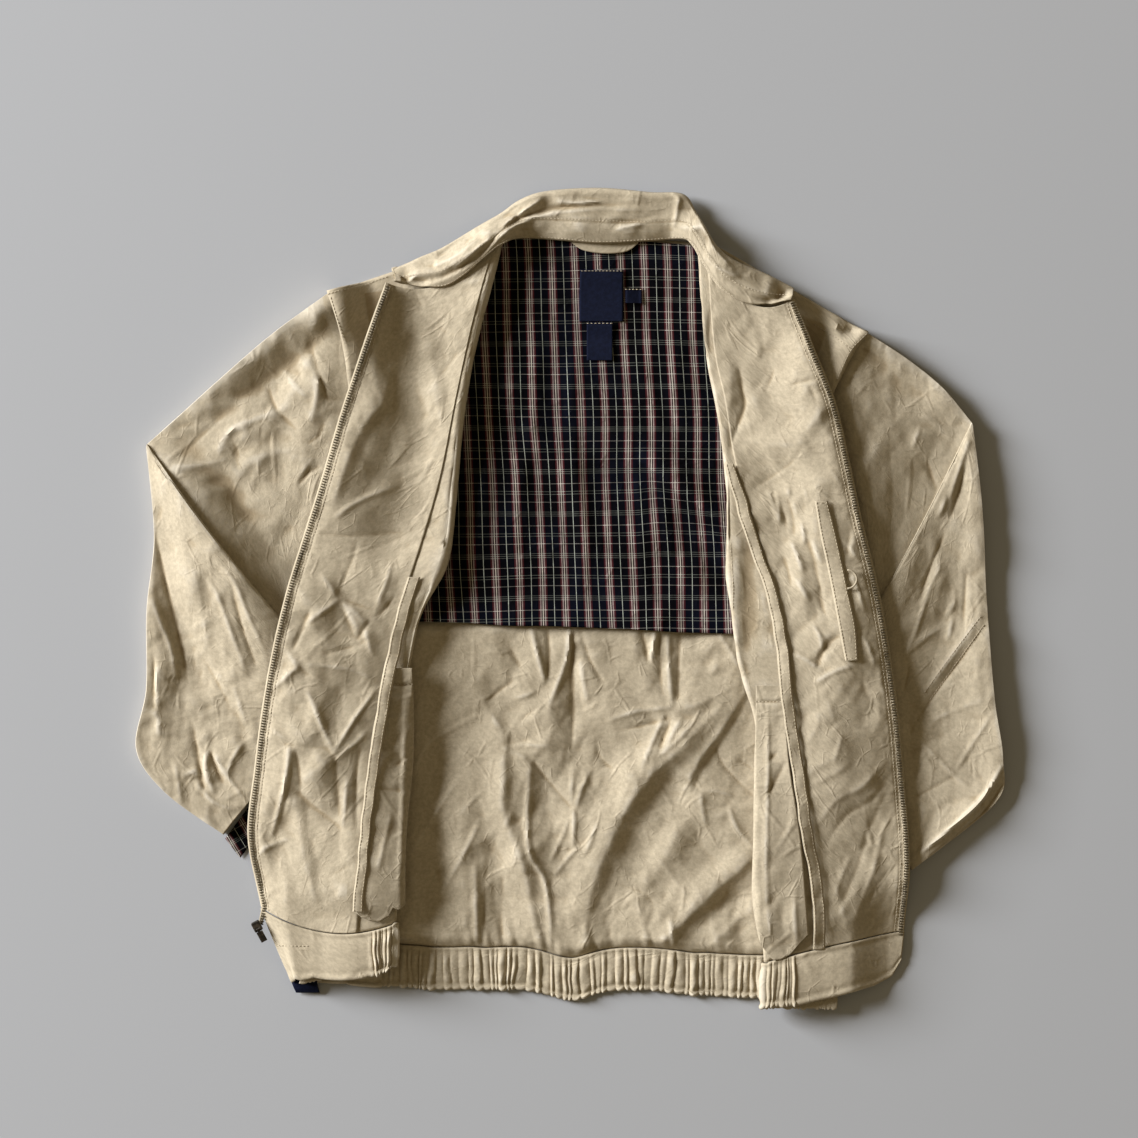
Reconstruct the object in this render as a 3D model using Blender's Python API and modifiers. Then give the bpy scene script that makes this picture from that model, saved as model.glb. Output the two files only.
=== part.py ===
"""Harrington jacket, laid open on its back with the inside up.

X runs to the wearer's left, Y to the collar and Z up from the surface that the jacket lies on. Each piece
of cloth is a wall on a grid of points. A piece takes its plan from a short table of rows and its height from
Ground, which knows what has been laid below it, so the cloth lies on itself in the order in which it is put
down here. Every size in a table or a constant is in millimetres.
"""

import math
from collections import namedtuple

import bmesh
import bpy
import numpy as np
from mathutils import Matrix

MM = 0.001

# Cloth and the room that pieces keep
SHELL = 1.2  # twill wall
LINING = 1.0  # lining wall
BAND = 3.0  # waistband: two layers of twill over elastic
COLLAR = 2.4  # collar: two layers of twill
LABEL = 1.0
POCKET_BAG = 1.6
WELT = 1.8
GAP = 0.9  # clear height between two pieces that lie on each other
SEAM = 0.8  # clear width between two pieces that are sewn edge to edge

# Garment sizes
BAND_HEIGHT = 41.0
FOLD_ROLL = 3.2  # extra height of a front at the edge that it is folded on
FOLD_REACH = 22.0  # how far from that edge the extra height dies away
FOLD_ROOM = 1.0  # how far the edge keeps within the line of the table
LINING_INSET = 3.0  # how far the lining of the back keeps inside the edges of the shell
SLEEVE_HEIGHT = 4.6  # a sleeve pressed flat, outside to outside
ELBOW_LIFT = 4.4  # how far the forearm lies above the upper arm at the elbow tuck
ELBOW_LAP = 4.0  # how far it laps over it
ELBOW_FADE = 5  # rings of the forearm over which it comes down to the floor again
SLEEVE_SIDES = 9  # points across one side of a sleeve
BACK_PLEATS = 62
FRONT_PLEATS = 7
PLEAT_STEPS = 3  # points of a waistband to a pleat
PLEAT_DEPTH = 1.9
FRONT_PLEAT_SHARE = 0.8  # depth of a front's pleats, as a share of the back's
PLEAT_SAG = 0.6  # how far a pleat's crest hangs below the others, as a share of its depth

# Back shell, waist to shoulder: left edge, right edge, and how far the middle rises above the chord
Back = namedtuple("Back", "left_x left_y right_x right_y rise")
BACK = [
    Back(-250, -316, 249, -333, 0),
    Back(-255, -195, 262, -212, 0),
    Back(-262, -75, 275, -92, 0),
    Back(-270, 60, 288, 35, 0),
    Back(-246, 172, 282, 141, 20),
    Back(-222, 284, 277, 247, 72),
]
LINING_HEM = Back(-262, -19, 276, -39, 0)

# Fronts, collar to waist: zip edge, edge of the facing, folded edge, side seam or armhole, and the row's bow
Front = namedtuple("Front", "zip_x zip_y facing_x facing_y fold_x fold_y side_x side_y bow")
RIGHT_FRONT = [
    Front(-169, 292, -72, 326, -63, 330, -222, 284, -20),
    Front(-187, 240, -91, 252, -83, 254, -233, 232, -6),
    Front(-209, 175, -106, 181, -98, 182, -246, 172, 0),
    Front(-228, 110, -122, 110, -105, 110, -259, 111, 0),
    Front(-250, 42, -145, 40, -113, 42, -269, 50, 0),
    Front(-268, -25, -165, -25, -139, -27, -267, -25, 0),
    Front(-281, -90, -178, -92, -149, -92, -263, -90, 0),
    Front(-290, -155, -188, -158, -151, -158, -259, -160, 0),
    Front(-297, -220, -196, -225, -155, -226, -255, -235, -4),
    Front(-285, -286, -203, -294, -157, -298, -250, -316, -16),
]
LEFT_FRONT = [
    Front(209, 278, 127, 330, 118, 336, 277, 247, -31),
    Front(226, 233, 133, 235, 126, 236, 279, 196, -8),
    Front(246, 182, 143, 182, 136, 182, 282, 150, 0),
    Front(259, 127, 153, 122, 145, 120, 285, 100, 0),
    Front(270, 75, 170, 72, 145, 72, 287, 50, 0),
    Front(285, 15, 187, 12, 147, 12, 285, 8, 0),
    Front(297, -50, 199, -52, 155, -52, 279, -60, 0),
    Front(306, -115, 203, -118, 173, -118, 272, -125, 0),
    Front(312, -180, 211, -183, 176, -183, 265, -190, 0),
    Front(316, -245, 220, -252, 175, -252, 258, -258, 0),
    Front(312, -308, 226, -326, 180, -336, 249, -333, 2),
]

# Sleeves: the outline side and the side that lies under the front, armhole to elbow and elbow to cuff
Sleeve = namedtuple("Sleeve", "outer_x outer_y inner_x inner_y")
RIGHT_UPPER_ARM = [
    Sleeve(-223, 284, -271, 60),
    Sleeve(-275, 249, -275, 32),
    Sleeve(-322, 209, -273, 2),
    Sleeve(-391, 143, -271, -30),
]
RIGHT_FOREARM = [
    Sleeve(-391, 143, -271, -30),
    Sleeve(-384, 60, -270, -45),
    Sleeve(-391, -10, -269, -60),
    Sleeve(-397, -85, -268, -78),
    Sleeve(-403.4, -140, -266, -98),
    Sleeve(-373, -181, -265, -118),
    Sleeve(-320, -219, -263, -141),
]
LEFT_UPPER_ARM = [
    Sleeve(278, 247, 289, 35),
    Sleeve(316, 222, 293, 12),
    Sleeve(347, 196, 292, -6),
    Sleeve(374, 163, 290, -22),
]
LEFT_FOREARM = [
    Sleeve(374, 163, 290, -22),
    Sleeve(383, 85, 287, -45),
    Sleeve(388, -5, 285, -70),
    Sleeve(395, -93, 283, -95),
    Sleeve(403, -150, 281, -120),
    Sleeve(396, -190, 279, -145),
    Sleeve(318, -252, 276, -175),
]

# Collar, right end to left end: outer edge, neck seam, and the height of the roll
Collar = namedtuple("Collar", "outer_x outer_y seam_x seam_y roll")
COLLAR_ROWS = [
    Collar(-164, 305, -160, 293, 2),
    Collar(-138, 316, -136, 289, 5),
    Collar(-117, 325, -115, 288, 7),
    Collar(-91, 341, -98, 297, 9),
    Collar(-64, 357, -80, 312, 10),
    Collar(-45, 370, -62, 326, 10),
    Collar(-20, 378, -38, 334, 9),
    Collar(28, 381, 26, 329, 9),
    Collar(76, 377, 72, 331, 9),
    Collar(107, 375, 104, 333, 10),
    Collar(120, 356, 114, 327, 9),
    Collar(136, 328, 125, 308, 8),
    Collar(152, 314, 142, 285, 8),
    Collar(183, 301, 170, 272, 6),
    Collar(209, 288, 206, 276, 3),
]

# Flat pieces that lie on the others: left and right edge of each row
Strip = namedtuple("Strip", "y left right")
RIGHT_POCKET_BAG = [
    Strip(-66, -166, -144),
    Strip(-115, -179, -143),
    Strip(-157, -184, -144),
    Strip(-220, -190, -150),
    Strip(-288, -197, -151),
]
LEFT_POCKET_BAG = [
    Strip(-80, 173, 196),
    Strip(-111, 173, 200),
    Strip(-155, 172, 204),
    Strip(-220, 171, 214),
    Strip(-275, 170, 219),
    Strip(-322, 177, 222),
]
INNER_POCKET_WELT = [
    Strip(90, 227, 238),
    Strip(59, 232, 246),
    Strip(32, 238, 252),
    Strip(7, 243, 257),
    Strip(-26, 249, 264),
    Strip(-57, 255, 266),
]
NECK_LABEL = [Strip(305, 11, 51), Strip(281, 10, 51), Strip(257, 10, 51)]
SIZE_TAB = [Strip(287, 53, 68), Strip(274, 53, 68)]
CARE_LABEL = [Strip(256, 17, 41), Strip(238, 17, 41), Strip(221, 17, 41)]
HEM_LABEL = [Strip(-320, -270, -240), Strip(-343, -262, -236), Strip(-366, -253, -231)]

# Ribbons: one long edge and the other, from end to end
Ribbon = namedtuple("Ribbon", "x0 y0 x1 y1")
HANGER_LOOP = [
    Ribbon(3, 330, 5, 333),
    Ribbon(14, 323, 16, 331),
    Ribbon(34, 320, 34, 330),
    Ribbon(54, 322, 52, 331),
    Ribbon(65, 330, 63, 333),
]
RIGHT_CUFF_LINING = [
    Ribbon(-305, -241, -319, -223),
    Ribbon(-284, -213, -296, -192),
    Ribbon(-263, -184, -273, -161),
]

# Waistband fronts, from the zip (0) by way of the fold (1) to the side seam (2): how far below the seam the
# lower edge lies and how far aside
BandCut = namedtuple("BandCut", "place drop height")
RIGHT_BAND = [
    BandCut(0, 29, 70),
    BandCut(0.1, 22, 61),
    BandCut(0.2, 10, 54),
    BandCut(0.3, 4, 51),
    BandCut(0.42, 0, 44),
    BandCut(1, 0, 42),
    BandCut(2, 0, 41),
]
LEFT_BAND = [
    BandCut(0, -3, 28),
    BandCut(0.09, 0, 41),
    BandCut(0.22, 0, 46),
    BandCut(0.5, 0, 48),
    BandCut(0.8, 0, 48),
    BandCut(1, 0, 43),
    BandCut(2, 0, 47),
]

# Folds of the cloth: a soft ridge from one point to another
Fold = namedtuple("Fold", "x0 y0 x1 y1 width height")
BACK_FOLDS = [
    Fold(172, -80, 4, -318, 34, 11),
    Fold(12, -128, -118, -218, 30, 6),
    Fold(8, -132, -42, -305, 30, 7),
    Fold(-100, -36, -58, -135, 28, 5),
    Fold(155, -56, 34, -152, 30, 6),
    Fold(155, -180, 92, -310, 28, 6),
    Fold(-56, -225, -136, -305, 28, 5),
]
LINING_FOLDS = [
    Fold(70, 150, 140, 70, 20, 5),
    Fold(-40, 180, 20, 60, 20, 3),
]
FRONT_FOLDS = [
    Fold(-120, 270, -200, 150, 24, 5),
    Fold(-130, 120, -215, 60, 22, 6),
    Fold(-190, 0, -260, -90, 24, 7),
    Fold(-210, -110, -280, -200, 22, 6),
    Fold(-215, -270, -250, -160, 20, 6),
    Fold(150, 250, 215, 150, 24, 5),
    Fold(175, 90, 265, 60, 22, 5),
    Fold(215, -30, 290, -120, 24, 7),
    Fold(225, -260, 300, -150, 22, 6),
    Fold(200, 190, 245, 120, 20, 4),
]
SLEEVE_FOLDS = [
    Fold(-240, 240, -330, 140, 26, 4),
    Fold(-380, 30, -310, -60, 26, 4),
    Fold(-390, -110, -300, -150, 24, 4),
    Fold(310, 200, 340, 110, 26, 4),
    Fold(380, 20, 315, -60, 26, 4),
    Fold(390, -120, 330, -200, 24, 4),
]

# Zip and slider
CHAIN_WIDTH = 5.0
CHAIN_HEIGHT = 2.2
SLIDER_AT = (-288.5, -303.5)
SLIDER_TURN = math.radians(-62)  # the way that the slider points, down the zip
SLIDER_LENGTH = 10.0
SLIDER_WIDTH = 8.0
SLIDER_HEIGHT = 4.6
TAB_LENGTH = 13.0
TAB_WIDTH = 6.0
TAB_THICKNESS = 1.2
TAB_DROOP = math.radians(-8)

PIVOT_FORWARD = 2.6  # from the middle of the slider to the tab's pivot
PIVOT_RISE = 1.4  # height of the pivot above the slider's body
BARREL = 0.9
BARREL_PLAY = 0.3  # clear width between the barrel and a lug
LUG_LENGTH = 2.4
LUG_ASIDE = 2.6
LUG_THICKNESS = 1.2
LUG_DEPTH = 0.4  # how deep a lug reaches into the slider's body
TAB_NECK_LENGTH = 3.0
TAB_NECK_WIDTH = 2.2
PLATE_FROM = 2.6  # where the tab's plate starts, from the pivot

# Where each zip tape ends below the last row of its front
RIGHT_ZIP_TAIL = (4.0, -9.0, 0.0)
LEFT_ZIP_TAIL = (0.0, -4.0, 0.0)

# Button loop of the inner pocket
LOOP_AT = (256.5, 18.0)
LOOP_RADIUS = 8.5
LOOP_CORD = 0.9

FRONT_TOP = 11  # points of a front between its zip edge and its folded edge
BAND_BLEND = 80.0  # the stretch over which a front rises to the thickness of its waistband
GATHER_FROM = 0.8  # where a front waistband starts to be gathered, as a share of the way from zip to fold

GROUND_HALF = 460.0
GROUND_CELL = 4.0

COLORS = {
    "twill": ((0.46, 0.38, 0.26, 1.0), 0.85, 0.0),
    "pocketing": ((0.43, 0.36, 0.25, 1.0), 0.88, 0.0),
    "plaid": ((0.022, 0.02, 0.028, 1.0), 0.9, 0.0),
    "navy_tape": ((0.012, 0.018, 0.05, 1.0), 0.7, 0.0),
    "zip_metal": ((0.2, 0.17, 0.12, 1.0), 0.38, 1.0),
    "dark_metal": ((0.06, 0.055, 0.055, 1.0), 0.35, 1.0),
}


def smooth_rows(table, count):
    """`count` rows read from a smooth curve through the rows of a table."""
    rows = np.array(table, float)
    last = len(rows) - 1
    at = np.linspace(0, last, count)
    index = np.minimum(at.astype(int), last - 1)
    t = (at - index)[:, None]
    before, here, there, after = (rows[np.clip(index + step, 0, last)] for step in (-1, 0, 1, 2))
    cubic = (3 * here - before - 3 * there + after) * t**3
    square = (2 * before - 5 * here + 4 * there - after) * t**2
    return 0.5 * (2 * here + (there - before) * t + square + cubic)


def straight_rows(table, places):
    """Rows read at `places`, counted in rows, along the straight lines between the rows of a table."""
    rows = np.array(table, float)
    return np.array([np.interp(places, range(len(rows)), column) for column in rows.T]).T


def refined(grid, rows, columns):
    """A grid of points read at `rows` by `columns` even places of a coarser one."""
    along = straight_rows(grid.reshape(len(grid), -1), np.linspace(0, len(grid) - 1, rows))
    along = along.reshape(rows, grid.shape[1], grid.shape[2]).transpose(1, 0, 2)
    across = straight_rows(along.reshape(len(along), -1), np.linspace(0, len(along) - 1, columns))
    return across.reshape(columns, rows, grid.shape[2]).transpose(1, 0, 2)


class Ground:
    """The upper surface of all that has been laid so far, as heights on a square grid over the floor."""

    def __init__(self):
        count = int(2 * GROUND_HALF / GROUND_CELL)
        self.top = np.zeros((count, count))

    def lay(self, grid):
        """Takes in the upper surface of a piece."""
        span = max(np.ptp(grid[..., 0]), np.ptp(grid[..., 1]))
        count = int(2.5 * span / GROUND_CELL)
        points = refined(grid, count, count).reshape(-1, 3)
        column, row = ((points[:, :2] + GROUND_HALF) / GROUND_CELL).astype(int).T
        np.maximum.at(self.top, (row, column), points[:, 2])

    def under(self, x, y, reach=24.0, soften=12.0):
        """The height that a piece rests on at a point: the highest place within `reach`, then softened."""
        wide = int(math.ceil((reach + soften) / GROUND_CELL))
        soft = int(math.ceil(soften / GROUND_CELL))
        field = self.top
        for axis in (0, 1):
            field = np.max([np.roll(field, step, axis) for step in range(-wide, wide + 1)], axis=0)
        for axis in (0, 1):
            field = np.mean([np.roll(field, step, axis) for step in range(-soft, soft + 1)], axis=0)
        column = (np.asarray(x) + GROUND_HALF) / GROUND_CELL - 0.5
        row = (np.asarray(y) + GROUND_HALF) / GROUND_CELL - 0.5
        c, r = column.astype(int), row.astype(int)
        a, b = column - c, row - r
        low = field[r, c] * (1 - a) + field[r, c + 1] * a
        high = field[r + 1, c] * (1 - a) + field[r + 1, c + 1] * a
        return low * (1 - b) + high * b


def ridges(x, y, folds):
    """The height of a table of folds: full along the middle of a fold, nothing at its ends and sides."""
    height = np.zeros(np.shape(x))
    for fold in folds:
        length = math.hypot(fold.x1 - fold.x0, fold.y1 - fold.y0)
        ux, uy = (fold.x1 - fold.x0) / length, (fold.y1 - fold.y0) / length
        along = ((x - fold.x0) * ux + (y - fold.y0) * uy) / length
        aside = ((x - fold.x0) * uy - (y - fold.y0) * ux) / fold.width
        body = np.clip(1 - aside**2, 0, 1) ** 2 * np.clip(4 * along * (1 - along), 0, 1)
        height = np.maximum(height, fold.height * body)
    return height


def material(name):
    """The plain finish of a slot."""
    color, roughness, metallic = COLORS[name]
    made = bpy.data.materials.get(name) or bpy.data.materials.new(name)
    made.use_nodes = True
    shader = made.node_tree.nodes["Principled BSDF"]
    shader.inputs["Base Color"].default_value = color
    shader.inputs["Roughness"].default_value = roughness
    shader.inputs["Metallic"].default_value = metallic
    return made


def add_object(name, data, finish, folder):
    made = bpy.data.objects.new(name, data)
    data.materials.append(material(finish))
    folder.objects.link(made)
    return made


def add_wall(name, grid, thickness, finish, folder):
    """A sheet of cloth: a grid of points, thickened away from the side that its first quad turns down."""
    rows, columns = grid.shape[:2]
    numbers = np.arange(rows * columns).reshape(rows, columns)
    corners = [numbers[:-1, :-1], numbers[:-1, 1:], numbers[1:, 1:], numbers[1:, :-1]]
    quads = np.stack(corners, axis=-1).reshape(-1, 4)
    across, along = grid[0, 1] - grid[0, 0], grid[1, 0] - grid[0, 0]
    if np.cross(across, along)[2] < 0:
        quads = quads[:, ::-1]
    mesh = bpy.data.meshes.new(name)
    mesh.from_pydata((grid.reshape(-1, 3) * MM).tolist(), [], quads.tolist())
    mesh.shade_smooth()
    made = add_object(name, mesh, finish, folder)
    wall = made.modifiers.new("Wall", "SOLIDIFY")
    wall.thickness = thickness * MM
    wall.offset = 1
    return made


def add_loft(name, rings, finish, folder):
    """A closed solid through rings of points, with a flat cap on each end."""
    count, sides = rings.shape[:2]
    build = bmesh.new()
    verts = [[build.verts.new(point) for point in ring * MM] for ring in rings]
    for first, second in zip(verts, verts[1:]):
        for side in range(sides):
            after = (side + 1) % sides
            build.faces.new((first[side], first[after], second[after], second[side]))
    build.faces.new(verts[0][::-1])
    build.faces.new(verts[-1])
    bmesh.ops.recalc_face_normals(build, faces=build.faces)
    mesh = bpy.data.meshes.new(name)
    build.to_mesh(mesh)
    build.free()
    mesh.shade_smooth()
    return add_object(name, mesh, finish, folder)


def shoulder_shape(u):
    """How far the neck stands above the line between the shoulder tips: 0 at the tips, 1 along the neck."""
    return np.clip(u / 0.35, 0, 1) * np.clip((1 - u) / 0.33, 0, 1)


def back_points(rows, columns):
    """Points of the back, from the left to the right end of each row."""
    u = np.linspace(0, 1, columns)
    x = rows[:, [0]] * (1 - u) + rows[:, [2]] * u
    y = rows[:, [1]] * (1 - u) + rows[:, [3]] * u + rows[:, [4]] * shoulder_shape(u)
    return x, y


def add_back(ground, folder):
    """The back shell lies on the floor, flat but for the folds of its lower half."""
    lower = np.linspace(0, 2.4, 24)  # the part that shows, with its folds, has closer rows
    upper = np.linspace(2.9, len(BACK) - 1, 6)
    x, y = back_points(straight_rows(BACK, np.concatenate([lower, upper])), 30)
    grid = np.stack([x, y, ridges(x, y, BACK_FOLDS)], axis=-1)
    add_wall("back_shell", grid, SHELL, "twill", folder)
    ground.lay(grid + (0, 0, SHELL))
    return grid


def add_back_lining(ground, folder):
    """The lining lies on the upper back, from its loose hem to the neck."""
    table = [LINING_HEM] + [row for row in BACK if row.left_y > 0]
    rows = straight_rows(table, np.linspace(0, len(table) - 1, 11))
    rows[:, 0] += LINING_INSET
    rows[:, 2] -= LINING_INSET
    rows[-1, [1, 3]] -= LINING_INSET
    x, y = back_points(rows, 12)
    z = ground.under(x, y) + GAP + ridges(x, y, LINING_FOLDS)
    grid = np.stack([x, y, z], axis=-1)
    add_wall("back_lining", grid, LINING, "plaid", folder)
    ground.lay(grid + (0, 0, LINING))


def sleeve_ring(row, base, height, sides):
    """A tube pressed flat between its outer and inner edge, as one ring of points."""
    outer, inner = np.array(row[:2]), np.array(row[2:])
    width = np.linalg.norm(outer - inner)
    across = (outer - inner) / width
    radius = height / 2
    turn = np.linspace(-math.pi / 2, math.pi / 2, 4)
    flat = np.linspace(width - radius, radius, sides)[1:-1]
    end = np.stack([width - radius + radius * np.cos(turn), radius * (1 + np.sin(turn))], axis=-1)
    top = np.stack([flat, np.full(len(flat), height)], axis=-1)
    start = np.stack([width - end[::-1, 0], end[::-1, 1]], axis=-1)
    bottom = np.stack([flat[::-1], np.zeros(len(flat))], axis=-1)
    ring = np.concatenate([end, top, start, bottom])
    plan = inner + ring[:, :1] * across
    ridge = ridges(plan[:, 0], plan[:, 1], SLEEVE_FOLDS) * (ring[:, 1] > radius)
    return np.column_stack([plan, base + ring[:, 1] + ridge])


def add_sleeve(name, upper, forearm, away, ground, folder):
    """A flat tube from armhole to cuff. At the elbow the forearm laps back over the upper arm."""
    upper_rows = smooth_rows(upper, 7)
    upper_rows[0, [0, 2]] += SEAM * away
    down = np.array([0.3 * away, -1.0])
    upper_rows[-1] += np.concatenate([down, down]) * ELBOW_LAP
    rings = [sleeve_ring(row, 0.0, SLEEVE_HEIGHT, SLEEVE_SIDES) for row in upper_rows]
    forearm_rows = smooth_rows(forearm, 12)
    for place, row in enumerate(forearm_rows):
        lift = ELBOW_LIFT * max(0.0, 1 - place / ELBOW_FADE) ** 2
        rings.append(sleeve_ring(row, lift, SLEEVE_HEIGHT, SLEEVE_SIDES))
    rings = np.array(rings)
    count, sides = rings.shape[:2]
    numbers = np.arange(count * sides).reshape(count, sides)
    after = np.roll(numbers, -1, axis=1)
    quads = np.stack([numbers[:-1], after[:-1], after[1:], numbers[1:]], axis=-1).reshape(-1, 4)
    mesh = bpy.data.meshes.new(name)
    mesh.from_pydata((rings.reshape(-1, 3) * MM).tolist(), [], quads.tolist())
    build = bmesh.new()
    build.from_mesh(mesh)
    bmesh.ops.recalc_face_normals(build, faces=build.faces)
    build.to_mesh(mesh)
    build.free()
    mesh.shade_smooth()
    made = add_object(name, mesh, "twill", folder)
    wall = made.modifiers.new("Wall", "SOLIDIFY")
    wall.thickness = SHELL * MM
    wall.offset = -1
    ground.lay(np.concatenate([rings, rings[:, :1]], axis=1))


def front_plan(row, places):
    """Points of one row of a front, from its zip edge by way of the facing's edge to its folded edge."""
    knots_x = [row[0], row[2], row[4]]
    knots_y = [row[1], row[3], row[5]]
    x = np.interp(places, [0, 1, 2], knots_x)
    share = (x - row[0]) / (row[4] - row[0])
    return x, np.interp(places, [0, 1, 2], knots_y) + row[8] * 4 * share * (1 - share)


def add_front(name, table, away, ground, folder):
    """A front, folded back on itself: from the side seam to the folded edge, round it and out to the zip."""
    rows = smooth_rows(table, 21)
    under_share = np.linspace(1, 0, 5)
    fold_x = rows[:, [4]] + away * (FOLD_ROLL / 2 + SHELL + FOLD_ROOM)
    under_x = fold_x * (1 - under_share) + rows[:, [6]] * under_share
    under_y = rows[:, [5]] * (1 - under_share) + rows[:, [7]] * under_share
    under_z = ground.under(under_x, under_y) + GAP + SHELL
    to_waist = np.clip((rows[:, [7]] - rows[-1, 7]) / BAND_BLEND, 0, 1)
    under_z += (BAND - SHELL + 0.6) * (1 - to_waist)
    under = np.stack([under_x, under_y, under_z], axis=-1)
    ground.lay(under)
    places = np.concatenate([np.linspace(2, 1, 5)[:-1], np.linspace(1, 0, 7)])
    plan = [front_plan(row, places) for row in rows]
    top_x = np.array([x for x, _ in plan])
    top_y = np.array([y for _, y in plan])
    top_x[:, 0] = fold_x[:, 0]
    from_fold = np.abs(top_x - fold_x)
    top_z = ground.under(top_x, top_y) + GAP + FOLD_ROLL * np.exp(-from_fold / FOLD_REACH)
    top_z += ridges(top_x, top_y, FRONT_FOLDS)
    top = np.stack([top_x, top_y, top_z], axis=-1)
    radius = (top[:, 0, 2] - under[:, -1, 2]) / 2
    bends = [
        np.stack(
            [
                fold_x[:, 0] - away * radius * math.cos(turn),
                rows[:, 5],
                under[:, -1, 2] + radius * (1 + math.sin(turn)),
            ],
            axis=-1,
        )
        for turn in np.radians([-45, 0, 45])
    ]
    grid = np.concatenate([under, np.stack(bends, axis=1), top], axis=1)[:, ::-1]
    add_wall(name, grid, SHELL, "twill", folder)
    ground.lay(top + (0, 0, SHELL))
    return grid, top[:, ::-1]


def add_facing(name, top, ground, folder):
    """The facing lies on the inside of a front, from the zip to its own bound edge."""
    grid = top[:, :7].copy()
    grid[:, 0] = 0.8 * grid[:, 0] + 0.2 * grid[:, 1]
    grid[:, -1] = 0.9 * grid[:, -1] + 0.1 * grid[:, -2]
    grid[..., 2] += SHELL + GAP
    add_wall(name, grid, LINING, "twill", folder)
    ground.lay(grid + (0, 0, LINING))


def add_strip(name, table, rows, columns, thickness, finish, ground, folder):
    """A flat piece that lies on what is below it."""
    edges = smooth_rows(table, rows)
    u = np.linspace(0, 1, columns)
    x = edges[:, [1]] * (1 - u) + edges[:, [2]] * u
    y = np.repeat(edges[:, [0]], columns, axis=1)
    z = ground.under(x, y, reach=14, soften=8) + GAP
    grid = np.stack([x, y, z], axis=-1)
    add_wall(name, grid, thickness, finish, folder)
    ground.lay(grid + (0, 0, thickness))
    return grid


def pleat_height(count, steps):
    """Heights of gathered pleats along a band, `steps` to a pleat, none quite like the next."""
    place = np.arange(count * steps + 1) / steps
    number = np.floor(place)
    crest = np.sin(math.pi * (place - number)) ** 0.8
    return crest * (1 + 0.25 * np.sin(2.4 * number) + 0.15 * np.sin(5.1 * number))


def band_ring(point, normal, height, drop, raised):
    """The section of a waistband: sewn edge above, folded edge below, flat inside and pleated outside."""
    down = np.array([drop, -height, 0.0])
    profile = [(0.0, 0.0), (0.0, 1.0), (0.25, 1.05), (0.6, 1.05), (0.95, 1.0), (1.0, 0.5), (0.97, 0.0)]
    pleated = [0.0, 0.35, 1.0, 0.9, 0.8, 0.0, 0.0]
    ring = []
    for (along, out), share in zip(profile, pleated):
        ring.append(point + down * along + normal * (out * BAND + raised * share))
    return np.array(ring)


def add_back_band(back, ground, folder):
    """The back waistband is sewn to the lower edge of the back shell and gathered all along."""
    raised = PLEAT_DEPTH * pleat_height(BACK_PLEATS, PLEAT_STEPS)
    edge = straight_rows(back[0], np.linspace(0, len(back[0]) - 1, len(raised)))
    up = np.array([0.0, 0.0, 1.0])
    rings = []
    for point, height in zip(edge, raised):
        base = np.array([point[0], point[1] - SEAM, 0.0])
        rings.append(band_ring(base, up, BAND_HEIGHT + PLEAT_SAG * height, 0.0, height))
    rings = np.array(rings)
    add_loft("waistband_back", rings, "twill", folder)
    ground.lay(rings[:, 1:6])


def add_front_band(name, grid, cuts, away, ground, folder):
    """A front waistband follows its front's lower edge: plain at first, then gathered, then back under."""
    edge = grid[-1]
    top = np.linspace(0, FRONT_TOP - 1, 8)[:-1] * GATHER_FROM
    pleats = FRONT_PLEAT_SHARE * PLEAT_DEPTH * pleat_height(FRONT_PLEATS, PLEAT_STEPS)
    gathers = np.linspace(GATHER_FROM, 1, len(pleats)) * (FRONT_TOP - 1)
    rest = np.arange(FRONT_TOP, len(edge))
    places = np.concatenate([top, gathers, rest])
    raised = np.concatenate([0 * top, pleats, 0 * rest])
    points = straight_rows(edge, places)
    slope = np.gradient(points[:, [0, 2]], axis=0)
    slope /= np.linalg.norm(slope, axis=1, keepdims=True)
    beyond = (places - FRONT_TOP + 1) / (len(edge) - FRONT_TOP)
    shares = np.where(places < FRONT_TOP, places / (FRONT_TOP - 1), 1 + beyond)
    cut = np.array(cuts, float)
    rings = []
    for point, (run, rise), share, height in zip(points, slope, shares, raised):
        normal = np.array([away * rise, 0.0, -away * run])
        drop, deep = (np.interp(share, cut[:, 0], cut[:, column]) for column in (1, 2))
        rings.append(band_ring(point + (0, -SEAM, 0), normal, deep + PLEAT_SAG * height, drop, height))
    rings = np.array(rings)
    add_loft(name, rings, "twill", folder)
    ground.lay(rings[: len(top) + len(gathers), 1:6])


def add_ribbon(name, table, rows, columns, thickness, finish, ground, folder, on_floor=False):
    """A narrow piece between two edges, on the floor or on other cloth, rolled up where its table says."""
    edges = smooth_rows(table, rows)
    u = np.linspace(0, 1, columns)
    x = edges[:, [0]] * (1 - u) + edges[:, [2]] * u
    y = edges[:, [1]] * (1 - u) + edges[:, [3]] * u
    z = np.zeros(x.shape) if on_floor else ground.under(x, y, reach=12, soften=8) + GAP
    z = z + edges[:, 4:] * np.sin(math.pi * u) ** 0.8 if edges.shape[1] > 4 else z
    grid = np.stack([x, y, z], axis=-1)
    add_wall(name, grid, thickness, finish, folder)
    ground.lay(grid + (0, 0, thickness))


def add_zip_tape(name, grid, away, tail, folder):
    """Tape and chain run along the zip edge of a front, just outside it, and end at `tail` below it."""
    edge = np.vstack([grid[:, 0], grid[-1, 0] + np.array(tail)])
    slope = np.gradient(edge[:, :2], axis=0)
    slope /= np.linalg.norm(slope, axis=1, keepdims=True)
    out = np.column_stack([-away * slope[:, 1], away * slope[:, 0], 0 * slope[:, 0]])
    up = np.array([0.0, 0.0, CHAIN_HEIGHT])
    near, far = edge + out * SEAM, edge + out * (SEAM + CHAIN_WIDTH)
    add_loft(name, np.stack([near, far, far + up, near + up], axis=1), "zip_metal", folder)


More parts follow.
